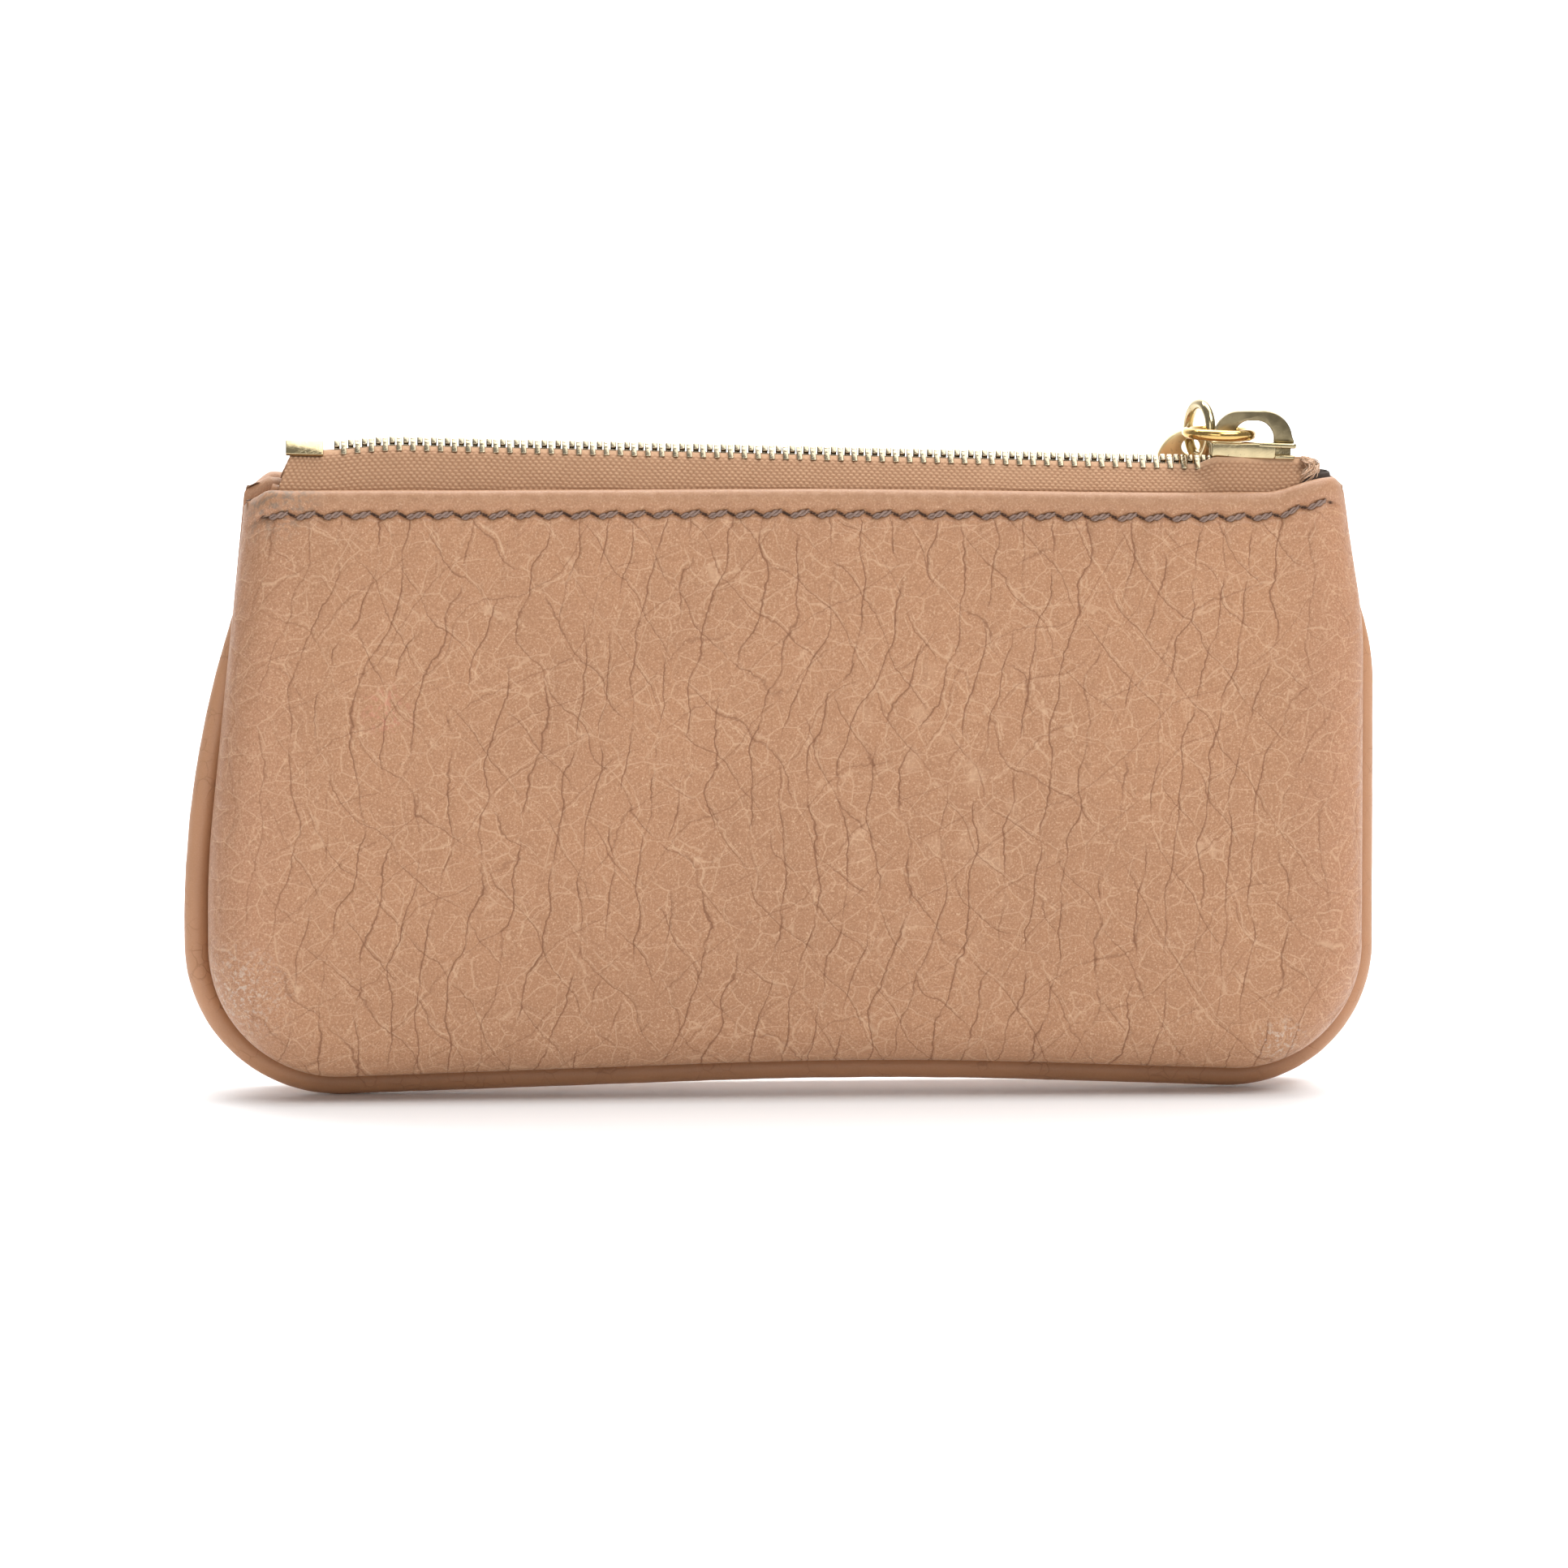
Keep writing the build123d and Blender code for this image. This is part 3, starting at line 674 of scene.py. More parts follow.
MOUTH_LEFT = PANEL_LOW[0] + 5.0
MOUTH_RIGHT = PANEL_HIGH[0] - 2.4
HEM_TOP = PANEL_HIGH[2]
PANEL_BOTTOM = PANEL_LOW[2] - 0.46
FLOOR = PIPING_LOW[2]
BOTTOM_RISE = 2.35
BOTTOM_RISE_X = 12.0


def panel_line(inset=0.0, step=0.5):
    """Edge of a leather panel from the left end of the mouth round to the right end."""
    left, right = PANEL_LOW[0] + inset, PANEL_HIGH[0] - inset
    bottom = PANEL_BOTTOM + inset
    points = [
        (MOUTH_LEFT + inset, HEM_TOP), (left, HEM_TOP - 47.4), (left, bottom),
        (BOTTOM_RISE_X, bottom + BOTTOM_RISE), (right, bottom), (right + 0.2, HEM_TOP - 17.4),
        (MOUTH_RIGHT - inset, HEM_TOP),
    ]
    return rounded_line(points, (120.0, 16.2 - inset, 600.0, 15.8 - inset, 60.0), step)


def seam_line(step=0.7):
    """Centre line of the piping from the left end of the mouth round to the right end."""
    radius = bpy.context.scene.pouch_leather.piping_radius / MM
    left, right = PIPING_LOW[0] + radius, PIPING_HIGH[0] - radius
    bottom = radius
    end = HEM_TOP - 0.4
    points = [
        (left + 11.45, end), (left, HEM_TOP - 37.0), (left, bottom), (BOTTOM_RISE_X, bottom + BOTTOM_RISE),
        (right, bottom), (right - 0.35, HEM_TOP - 20.0), (right - 8.55, end),
    ]
    return rounded_line(points, (125.0, 17.6, 600.0, 16.4, 30.0), step)


def hem_lift(x, side=-1):
    """The mouth sags towards the right, rises again and rounds off; at the left the back stands higher."""
    sag = -0.7 * smooth_step(0.0, 55.0, x)
    left = 1.0 - smooth_step(-66.6, -63.6, x)
    behind = 1.6 * (1.0 - smooth_step(-63.5, -57.0, x)) if side > 0 else 0.0
    return sag + behind - 1.5 * left + 1.7 * smooth_step(60.0, 67.8, x) - 2.0 * smooth_step(68.6, 71.6, x)


def stitch_places():
    """Middle of each stitch along the zip."""
    leather = bpy.context.scene.pouch_leather
    pitch = leather.stitch_pitch / MM
    left, right = MOUTH_LEFT + 1.2, MOUTH_RIGHT - 0.8
    count = int((right - left) / pitch)
    return left + (right - left - (count - 1) * pitch) / 2 + pitch * np.arange(count)


def wall_depth(z):
    """Half thickness of the pouch at a height."""
    slope = (abs(PANEL_LOW[1]) - 6.0) / (HEM_TOP - PANEL_LOW[2] - 4.4)
    return 6.0 + (HEM_TOP - z) * slope


def seam_gap(x, z):
    """Height above the stitch line, and closeness to the gap between two stitches."""
    leather = bpy.context.scene.pouch_leather
    phase = (x - stitch_places()[0]) / (leather.stitch_pitch / MM)
    saw = phase - np.round(phase)
    line = HEM_TOP - leather.stitch_drop / MM + 0.9 * saw * (1.0 - smooth_step(0.30, 0.5, np.abs(saw)))
    return z - line, np.abs(saw) * 2.0


def seam_shade(x, z):
    """How dark the painted shade in the pressed line is."""
    gap, beside = seam_gap(x, z)
    return (0.40 + 0.60 * smooth_step(0.45, 0.8, beside)) * np.exp(-((gap / 0.24) ** 2))


def hem_relief(x, z):
    """How far the leather stands out or sinks in by the stitch line."""
    gap, beside = seam_gap(x, z)
    groove = -(0.50 + 0.35 * smooth_step(0.55, 1.0, beside)) * np.exp(-((gap / 0.36) ** 2))
    roll = 0.50 * np.exp(-(((gap - 1.6) / 1.05) ** 2))
    puff = 0.34 * np.exp(-(((gap + 1.15) / 0.80) ** 2)) * (1.0 - 0.75 * smooth_step(0.35, 1.0, beside))
    return groove + roll + puff


def skin_depth(side, inset, x, z, away, detailed):
    """How far the leather stands from the middle plane."""
    leather = bpy.context.scene.pouch_leather
    wrap = leather.wrap_radius / MM - inset
    base = wall_depth(z) - inset - wrap
    rounded = wrap * np.sqrt(np.clip(1 - (1 - np.clip(away / wrap, 0, 1)) ** 2, 0, 1))
    swell = leather.fullness / MM * smooth_step(4.0, 30.0, away)
    y = base + rounded + swell
    if detailed:
        inner = smooth_step(2.0, 14.0, away)
        y = y + inner * 0.28 * ripple(x, z, 26.0, 4 + side) + inner * 0.10 * ripple(x, z, 9.0, 9 + side)
    return y


def crease_fields(x, z):
    """Steps across each family of creases: a half lies on its lines."""
    headings = ((1.0, -0.16, 3.6, 34.0, 1.2, 10.0), (0.80, 0.60, 3.8, 30.0, 1.3, 9.0),
                (0.62, -0.78, 4.0, 32.0, 1.3, 11.0))
    fields, seed = {}, 21
    for (name, spacing, *_), (over, up, wide, wide_size, fine, fine_size) in zip(CREASES, headings):
        bend = wide * ripple(x, z, wide_size, seed) + fine * ripple(x, z, fine_size, seed + 1)
        fields[name] = (over * x + up * z + bend) / spacing
        seed += 2
    return fields


def crease_relief(x, z):
    """Cells swell between the creases."""
    fields = crease_fields(x, z)
    total = np.zeros_like(x)
    for name, spacing, _, strength, *_ in CREASES:
        share = fields[name] - np.floor(fields[name]) - 0.5
        gap = np.abs(share) * spacing
        total += strength * (0.10 * np.sqrt(np.clip(gap / (spacing / 2), 0, 1)) - 0.10)
    return total * (0.55 + 0.45 * ripple(x, z, 15.0, 31))


def edge_shares(length, wrap, turns, step, both):
    """Shares of a length, crowded where the leather rounds over its edge."""
    rounding = [wrap * (1 - math.cos(math.pi / 2 * k / turns)) for k in range(turns)]
    end = length - wrap if both else length
    count = max(2, int((end - wrap) / step))
    middle = list(np.linspace(wrap, end, count + 1))
    places = rounding + middle
    if both:
        places += [length - place for place in reversed(rounding)]
    return np.array(places) / length


# the skin's side rows start this far above the panel's lowest point
SIDE_START = 5.0
SKIRT_TURNS = 6
ROLL_TURNS = 8
FINE_BAND, FINE_STEP = 7.0, 0.2


def skin_grid(line, skin_top, wrap, step, detailed):
    """Flat grid of the skin between its left, right, bottom and top edges, with finer rows by the hem."""
    left_corner = int(np.argmin(line[:, 0] + line[:, 1]))
    right_corner = int(np.argmin(line[:, 1] - line[:, 0]))
    side_left = line[: left_corner + 1][::-1]
    side_left = side_left[side_left[:, 1] <= skin_top + 0.01]
    side_right = line[right_corner:]
    side_right = side_right[side_right[:, 1] <= skin_top + 0.01]
    rise = skin_top - PANEL_LOW[2] - SIDE_START
    across = edge_shares(PANEL_HIGH[0] - PANEL_LOW[0], wrap, 9, step, True)
    up = edge_shares(rise, wrap * 0.6, 7, step, False)
    if detailed:
        fine = 1.0 - np.arange(0, FINE_BAND, FINE_STEP)[::-1] / rise
        up = np.r_[up[up < fine[0] - 0.002], fine]
    left, right = at_shares(side_left, up), at_shares(side_right, up)
    low = at_shares(line[left_corner:right_corner + 1], across)
    high_x = np.interp(across, [0, 1], [left[-1, 0], right[-1, 0]])
    high = np.stack([high_x, np.full(len(across), left[-1, 1])], 1)
    u, v = across[None, :, None], up[:, None, None]
    corners = (1 - u) * (1 - v) * low[0] + u * (1 - v) * low[-1] + (1 - u) * v * high[0] + u * v * high[-1]
    return (1 - u) * left[:, None] + u * right[:, None] + (1 - v) * low[None] + v * high[None] - corners


def seam_skirt(rim):
    """Rings of points from the rounded edge down to the seam."""
    leather = bpy.context.scene.pouch_leather
    inward = unit_normals(rim[:, [0, 2]])
    tuck = leather.tuck / MM * smooth_step(HEM_TOP - 24.0, HEM_TOP, rim[:, 2])
    gap = leather.seam_half_gap / MM
    skirt = []
    for k in range(1, SKIRT_TURNS + 1):
        t = math.pi / 2 * k / SKIRT_TURNS
        sunk = rim[:, [0, 2]] + inward * (tuck * (1 - math.cos(t)))[:, None]
        skirt.append(np.stack([sunk[:, 0], gap + (rim[:, 1] - gap) * (1 - math.sin(t)), sunk[:, 1]], 1))
    return skirt


def rolled_hem(points, faces, top_row, roll, inside):
    """The hem rolls over the top row and goes down inside."""
    top = points[top_row]
    out = unit_normals(top[:, :2])
    angles = [math.pi * k / ROLL_TURNS for k in range(1, ROLL_TURNS + 1)]
    steps = [(roll * (1 - math.cos(angle)), roll * math.sin(angle)) for angle in angles]
    steps += [(2 * roll, -share * inside) for share in (0.25, 0.6, 1.0)]
    last = np.array(top_row)
    for shift, rise in steps:
        flat = top[:, :2] - out * shift
        here = len(points) + np.arange(len(top_row))
        points = np.concatenate([points, np.column_stack([flat, top[:, 2] + rise])])
        for c in range(len(top_row) - 1):
            faces.append([last[c], last[c + 1], here[c + 1], here[c]])
        last = here
    return points


def panel_form(side, inset, step, detailed):
    """Points, faces and leather fields of one half of the pouch: skin, seam skirt and rolled hem."""
    leather = bpy.context.scene.pouch_leather
    wrap = leather.wrap_radius / MM - inset
    roll = leather.hem_roll / MM if detailed else 0.3
    line = panel_line(inset)
    skin = skin_grid(line, HEM_TOP - roll, wrap, step, detailed)
    rows, columns = skin.shape[:2]
    x, z = skin.reshape(-1, 2).T
    away = np.clip(nearest_distance(skin.reshape(-1, 2), line), 0, None)
    y = skin_depth(side, inset, x, z, away, detailed)
    if detailed:
        field = smooth_step(1.0, 5.0, away) * (1.0 - smooth_step(HEM_TOP - 5.0, HEM_TOP - 3.6, z))
        y = y + crease_relief(x, z) * field
        y = y + hem_relief(x, z) * smooth_step(0.0, 3.0, away)
    skin_points = np.stack([x, y, z], 1)
    edge = [r * columns for r in range(rows - 1, 0, -1)] + list(range(columns))
    edge = np.array(edge + [r * columns + columns - 1 for r in range(1, rows)])
    points = np.concatenate([skin_points] + seam_skirt(skin_points[edge]))
    faces = grid_faces(rows, columns)
    ring = len(edge)
    rings = [edge] + [len(skin_points) + k * ring + np.arange(ring) for k in range(SKIRT_TURNS)]
    for outer, inner in zip(rings, rings[1:]):
        for c in range(ring - 1):
            faces.append([outer[c], inner[c], inner[c + 1], outer[c + 1]])
    top_row = [r[0] for r in rings[::-1]] + list(range((rows - 1) * columns + 1, rows * columns - 1))
    top_row += [r[-1] for r in rings]
    points = rolled_hem(points, faces, top_row, roll, leather.hem_inside / MM if detailed else 1.0)
    place = points * (1, side, 1)
    lift = hem_lift(points[:, 0], side) * smooth_step(HEM_TOP - 26.0, HEM_TOP - 3.0, points[:, 2])
    points = place + np.outer(lift, (0, 0, 1))
    if side > 0:
        faces = [face[::-1] for face in faces]
    if not detailed:
        return points, faces
    # painted shade along the pressed stitch line, for the leather material
    seam = np.zeros(len(points))
    seam[:len(skin_points)] = seam_shade(x, z) * smooth_step(0.5, 3.0, away)
    return points, faces, {"place": place, "seam": seam, **crease_fields(points[:, 0], place[:, 2])}


def sink_lining(points):
    """The lining ends below the hem, but stands up at the right end of the mouth."""
    drop = 2.2 - 2.6 * smooth_step(62.0, 66.0, points[:, 0])
    points[:, 2] -= drop * smooth_step(HEM_TOP - 12.0, HEM_TOP, points[:, 2])


def piping_points(radius):
    """Tube along the seam, a little uneven, as hand-turned piping is."""
    line = seam_line()
    count = 20
    out = -unit_normals(line)
    station = np.arange(len(line)) * 0.7
    swell = 1 + 0.02 * ripple(station, station * 0, 9.0, 3) + 0.012 * ripple(station, station * 0, 3.1, 5)
    points = []
    for k in range(count):
        angle = 2 * math.pi * k / count
        reach = radius * swell * math.cos(angle)
        points.append(np.stack([line[:, 0] + out[:, 0] * reach, radius * swell * math.sin(angle),
                                line[:, 1] + out[:, 1] * reach], 1))
    tube = np.stack(points, 1).reshape(-1, 3)
    tube[:, 2] = np.maximum(tube[:, 2], FLOOR)
    return tube, grid_faces(len(line), count, closed_columns=True, flip=True) + end_caps(len(line), count)


def flange_points():
    """Flat sewn part of the piping strip, between the two panels."""
    line = seam_line()
    inward = unit_normals(line)
    radius = bpy.context.scene.pouch_leather.piping_radius / MM
    section = [(radius * 0.8, -0.35), (radius + 4.0, -0.35), (radius + 4.0, 0.35), (radius * 0.8, 0.35)]
    points = []
    for reach, y in section:
        moved = line + inward * reach
        points.append(np.stack([moved[:, 0], np.full(len(line), y), moved[:, 1]], 1))
    caps = [cap[::-1] for cap in end_caps(len(line), len(section))]
    return np.stack(points, 1).reshape(-1, 3), grid_faces(len(line), len(section), closed_columns=True) + caps


def stitch_points(side):
    """Two-ply stitches lying in the pressed line, their ends pulled into the leather."""
    leather = bpy.context.scene.pouch_leather
    ply = leather.stitch_radius / MM
    length = leather.stitch_length / MM
    line = panel_line()
    sections, around = 15, 8
    points, faces = [], []
    rng = random.Random(11)
    for middle in stitch_places():
        slant = rng.uniform(0.20, 0.30)
        shift = rng.uniform(-0.05, 0.05)
        share = np.linspace(0, 1, sections)
        run = (share - 0.5) * length
        x = middle + run
        z = HEM_TOP - leather.stitch_drop / MM + run * slant + shift
        away = nearest_distance(np.stack([x, z], 1), line)
        y = skin_depth(side, 0.0, x, z, away, True) + 0.42 * np.sin(math.pi * share) ** 0.5 - 0.34
        for strand in (0, 1):
            start = len(points)
            for k in range(sections):
                angle = math.pi * strand + 2.4 * math.pi * share[k]
                spot = np.array([x[k], y[k] + ply * 0.8 * math.cos(angle),
                                 z[k] + hem_lift(x[k], side) + ply * 0.9 * math.sin(angle)])
                size = ply * (0.6 + 0.4 * math.sin(math.pi * share[k]) ** 0.4)
                for a in range(around):
                    turn = 2 * math.pi * a / around
                    points.append(spot + np.array([0.0, size * math.cos(turn), size * math.sin(turn)]))
            faces += grid_faces(sections, around, closed_columns=True, offset=start, flip=side > 0)
            caps = end_caps(sections, around, start)
            faces += [cap[::-1] for cap in caps] if side > 0 else caps
    points = np.array(points)
    points[:, 1] *= side
    return points, faces


# ---------------------------------------------------------------- zip


CHAIN_AXIS = JOINTS["slider_slide"]["axis"]
CHAIN_SLOPE = math.atan2(-CHAIN_AXIS[2], CHAIN_AXIS[0])
CHAIN_LEFT = BACK_TEETH_LOW[0] + 0.4
CHAIN_RIGHT = FRONT_TEETH_HIGH[0]
CHAIN_LEFT_TOP = BACK_TEETH_HIGH[2] + 0.07
SLIDER_LEFT = 53.7
LOOP_PLACE = (0.4, 0, 1.64)


def chain_z(x):
    """Height of the tooth tips; the left end of the zip droops a little."""
    straight = CHAIN_LEFT_TOP - (np.asarray(x, float) - CHAIN_LEFT) * math.tan(CHAIN_SLOPE)
    return straight - droop(x)


def droop(x):
    """How far the free left end of the zip hangs, in millimetres."""
    return 1.0 - smooth_step(-60.0, -47.0, x)


def tent(along, outward, side):
    """Point of the chain's cross-section: down the leaning tape, then out from it."""
    half = 0.6 / math.cos(math.pi / 4)
    y = (along + outward) * math.sqrt(0.5)
    z = -half + (outward - along) * math.sqrt(0.5)
    return side * y, z


def tent_block(places, side, *bevel):
    """Rounded block whose corners are (along, outward) places of the chain's cross-section."""
    return bevelled_block([tent(*place, side) for place in places], *bevel)


def tape_profile(x, side):
    """Line of a tape's outer face at x, from the tooth edge to its sewn end, as (y, z)."""
    top = float(chain_z(x))
    y0, z0 = tent(0.9, 0.25, 1)
    y1, z1 = tent(2.2, 0.25, 1)
    over = float(smooth_step(51.5, 54.5, x))
    y0, z0 = y0 + over * (1.95 - y0), z0 + over * (-0.25 - z0)
    y1, z1 = y1 + over * (2.35 - y1), z1 + over * (-1.1 - z1)
    hem = 3.75
    lift = float(hem_lift(x, side))
    spots = [(y0, top + z0), (y1, top + z1), (hem, HEM_TOP + lift - 0.3), (hem + 0.1, HEM_TOP + lift - 2.5),
             (hem + 0.4, HEM_TOP - 6.4)]
    return np.array(spots)


def weave(u, v, pitch, row):
    """Height from 0 to 1 of slanted loops in staggered rows."""
    level = np.floor(v / row)
    b = v / row - level - 0.5
    a = u / pitch + 0.5 * (level % 2)
    a = a - np.floor(a) - 0.5
    long = a * 0.88 + b * 0.42
    short = -a * 0.40 + b * 0.80
    loop = np.exp(-((long / 0.36) ** 2) - ((short / 0.25) ** 2))
    edge = np.exp(-(((np.abs(a) - 0.5) / 0.14) ** 2)) * 0.25
    return np.clip(loop - edge, 0, 1)


def tape_points(side, step):
    """Woven tape, its loops modelled where they show."""
    zip_sizes = bpy.context.scene.pouch_zip
    xs = np.arange(TAPE_LOW[0], TAPE_HIGH[0] + step / 2, step)
    shown = np.r_[np.arange(0, 9.4, step), np.array([10.5, 12.0, 14.0])]
    outer, inner, gaps = [], [], []
    for x in xs:
        profile = tape_profile(x, side)
        reach = np.minimum(shown, run_lengths(profile)[-1])
        line = at_lengths(profile, reach)
        normal = unit_normals(line)
        loops = weave(np.full(len(reach), x), reach + 0.05 * math.sin(x * 0.8), zip_sizes.weave_pitch / MM,
                      zip_sizes.weave_row / MM)
        calm = smooth_step(0.2, 0.9, reach)
        raised = line + normal * (loops * zip_sizes.weave_depth / MM * calm)[:, None]
        cut = x + 1.7 * (1.0 - smooth_step(0.0, 6.0, x - xs[0])) * (1.0 - np.clip(reach / 5.0, 0, 1))
        outer.append(np.column_stack([cut, raised]))
        inner.append(np.column_stack([cut, line - normal * 0.4]))
        gaps.append(1.0 - loops * calm - (1 - calm) * 0.8)
    outer, inner = np.array(outer), np.array(inner)
    picks = [0, len(shown) // 4, len(shown) // 2, 3 * len(shown) // 4, len(shown) - 1]
    back = inner[:, picks[::-1]]
    whole = np.concatenate([outer, back], 1)
    columns = whole.shape[1]
    shade = np.concatenate([np.array(gaps), np.full((len(xs), len(picks)), 0.5)], 1)
    points = whole.reshape(-1, 3) * (1, side, 1)
    caps = end_caps(len(xs), columns)
    faces = grid_faces(len(xs), columns, closed_columns=True, flip=side < 0)
    faces += caps if side < 0 else [cap[::-1] for cap in caps]
    return points, faces, shade.ravel()


def bevelled_block(corners, length, bevel, segments=2):
    """Block with a four-sided section in the YZ plane, its edges rounded."""
    mesh = bmesh.new()
    rings = []
    for x in (-length / 2, length / 2):
        rings.append([mesh.verts.new((x, y, z)) for y, z in corners])
    count = len(corners)
    for k in range(count):
        mesh.faces.new([rings[0][k], rings[0][(k + 1) % count], rings[1][(k + 1) % count], rings[1][k]])
    mesh.faces.new(rings[0][::-1])
    mesh.faces.new(rings[1])
    bmesh.ops.recalc_face_normals(mesh, faces=mesh.faces)
    bmesh.ops.bevel(mesh, geom=mesh.edges[:] + mesh.verts[:], offset=bevel, segments=segments, profile=0.6,
                    affect="EDGES", clamp_overlap=True)
    mesh.verts.ensure_lookup_table()
    points = np.array([vertex.co[:] for vertex in mesh.verts])
    mesh.verts.index_update()
    faces = [[vertex.index for vertex in face.verts] for face in mesh.faces]
    mesh.free()
    return points, faces


def join_shapes(shapes):
    """One set of points and faces from several."""
    points, faces, offset = [], [], 0
    for some_points, some_faces in shapes:
        points.append(np.asarray(some_points, float))
        faces += [[offset + index for index in face] for face in some_faces]
        offset += len(some_points)
    return np.concatenate(points), faces


def on_chain(points, x):
    """Move a shape drawn at x = 0, tooth tips at z = 0, onto the chain."""
    moved = np.array(points, float)
    moved[:, 2] -= moved[:, 0] * math.tan(CHAIN_SLOPE)
    moved[:, 0] += x
    moved[:, 2] += chain_z(x)
    return moved


def tooth_shape(side):
    """Tooth: two legs round the tape edge and a rounded head."""
    zip_sizes = bpy.context.scene.pouch_zip
    half = zip_sizes.tooth_thickness / MM / 2
    width = zip_sizes.tooth_width / MM
    parts = (
        (((0.05, half), (1.9, half * 0.92), (1.9, 0.30), (0.05, 0.30)), 0.94, 0.09, 2),
        (((0.05, -0.30), (1.9, -0.30), (1.9, -half), (0.05, -half)), 0.94, 0.08, 2),
        (((-0.05, half * 0.98), (0.85, half * 0.98), (0.85, -half * 0.9), (-0.05, -half * 0.9)),
         0.86, 0.10, 2),
        (((-0.5, half * 0.86), (0.2, half * 1.05), (0.2, -half * 0.8), (-0.5, -half * 0.8)), 1.0, 0.2, 3),
    )
    return join_shapes([tent_block(corners, side, width * share, bevel, rounds)
                        for corners, share, bevel, rounds in parts])


def teeth_points(side):
    pitch = bpy.context.scene.pouch_zip.tooth_pitch / MM
    start = CHAIN_LEFT + (0.0 if side > 0 else pitch / 2)
    shape, faces = tooth_shape(side)
    count = int((CHAIN_RIGHT - start) / pitch) + 1
    return join_shapes([(on_chain(shape, start + k * pitch), faces) for k in range(count)])


def plate_shape(loops, thickness, bevel, segments=2):
    """Plate from closed outlines in its own plane, holes included, with rounded edges."""
    mesh = bmesh.new()
    edges = []
    for loop in loops:
        corners = [mesh.verts.new((a, b, 0.0)) for a, b in loop]
        edges += [mesh.edges.new((corners[k], corners[(k + 1) % len(corners)])) for k in range(len(corners))]
    bmesh.ops.triangle_fill(mesh, use_beauty=True, edges=edges)
    bmesh.ops.dissolve_limit(mesh, angle_limit=0.01, verts=mesh.verts, edges=mesh.edges)
    sheet = mesh.faces[:]
    grown = bmesh.ops.extrude_face_region(mesh, geom=sheet)
    top = [item for item in grown["geom"] if isinstance(item, bmesh.types.BMVert)]
    bmesh.ops.translate(mesh, verts=top, vec=(0, 0, thickness))
    bmesh.ops.recalc_face_normals(mesh, faces=mesh.faces)
    rim = [edge for edge in mesh.edges if len(edge.link_faces) == 2 and edge.calc_face_angle(0) > 0.9]
    bmesh.ops.bevel(mesh, geom=rim, offset=bevel, segments=segments, profile=0.5, affect="EDGES",
                    clamp_overlap=True)
    mesh.verts.index_update()
    mesh.verts.ensure_lookup_table()
    points = np.array([vertex.co[:] for vertex in mesh.verts]) - np.array([0, 0, thickness / 2])
    faces = [[vertex.index for vertex in face.verts] for face in mesh.faces]
    mesh.free()
    return points, faces


def arc(centre, radius, start, end, count):
    angles = np.radians(np.linspace(start, end, count))
    return [(centre[0] + radius * math.cos(a), centre[1] + radius * math.sin(a)) for a in angles]


def rounded_box_loop(left, right, low, high, radius, count=6):
    """Closed outline of a box with round corners."""
    return (arc((right - radius, low + radius), radius, -90, 0, count)
            + arc((right - radius, high - radius), radius, 0, 90, count)
            + arc((left + radius, high - radius), radius, 90, 180, count)
            + arc((left + radius, low + radius), radius, 180, 270, count))


def upright(plate):
    """Turn a flat plate to stand in the XZ plane."""
    points, faces = plate
    return points[:, (0, 2, 1)], [face[::-1] for face in faces]


def slider_points():
    """Slider: roof, side skirts, post, lip and lower plate, in one casting."""
    edge = bpy.context.scene.pouch_zip.metal_edge / MM
    length, skirt, narrow, wide, corner = 10.6, 8.0, 1.4, 2.9, 0.5
    floor, lip_low, roof_low = -3.9, -0.36, 1.34
    roof_line = (arc((corner, -narrow + corner), corner, 180, 270, 5)
                 + arc((length - corner, -wide + corner), corner, 270, 360, 5)
                 + arc((length - corner, wide - corner), corner, 0, 90, 5)
                 + arc((corner, narrow - corner), corner, 90, 180, 5))
    points, faces = plate_shape([roof_line], 0.6, edge)
    shapes = [(points + (0, 0, roof_low), faces)]
    for side in (-1, 1):
        points, faces = upright(plate_shape([rounded_box_loop(0.05, skirt, lip_low, 1.62, 0.35)], 0.62, edge))
        lean = narrow + (wide - narrow) * points[:, 0] / length
        points[:, 1] += side * (lean - 0.30)
        shapes.append((points, faces))
    # post, lip and lower plate: half width, low, high, length, rounding and middle
    blocks = ((0.3, floor, 1.3, 2.0, 0.1, length - 1.4), (2.4, lip_low, 0.14, 2.5, 0.14, skirt + 1.2),
              (1.5, floor, -3.2, length - 1, 0.2, length / 2))
    for half, low, high, run, bevel, middle in blocks:
        points, faces = bevelled_block([(-half, low), (half, low), (half, high), (-half, high)], run, bevel)
        shapes.append((points + (middle, 0, 0), faces))
    return join_shapes(shapes)


def crown_points():
    """Upright D-shaped loop, open underneath where it stands on the slider."""
    edge = bpy.context.scene.pouch_zip.metal_edge / MM
    right, high, thickness = CROWN_HIGH[0] - CROWN_LOW[0], 3.8, 1.5
    outer = [(right, 0.0)] + arc((right - 3.9, high - 3.5), 3.6, 8, 88, 12)
    outer += arc((3.2, high - 3.0), 3.0, 95, 176, 10) + [(0.1, 0.0)]
    hole = [(2.6, 0.0)] + arc((4.6, high - 3.15), 2.0, 174, 100, 8)
    hole += arc((right - 4.9, high - 3.45), 2.3, 84, 6, 9) + [(right - 2.6, 0.0)]
    return upright(plate_shape([outer + hole], thickness, edge, 3))


def place_on_slider(points):
    """From the slider's own frame, its left end and the tooth tips, to the row frame."""
    turn = np.array(Matrix.Rotation(CHAIN_SLOPE, 3, "Y"))
    tips = CHAIN_LEFT_TOP + CHAIN_LEFT * math.tan(CHAIN_SLOPE)
    return (points + (SLIDER_LEFT, 0, 0)) @ turn.T + (0, 0, tips)


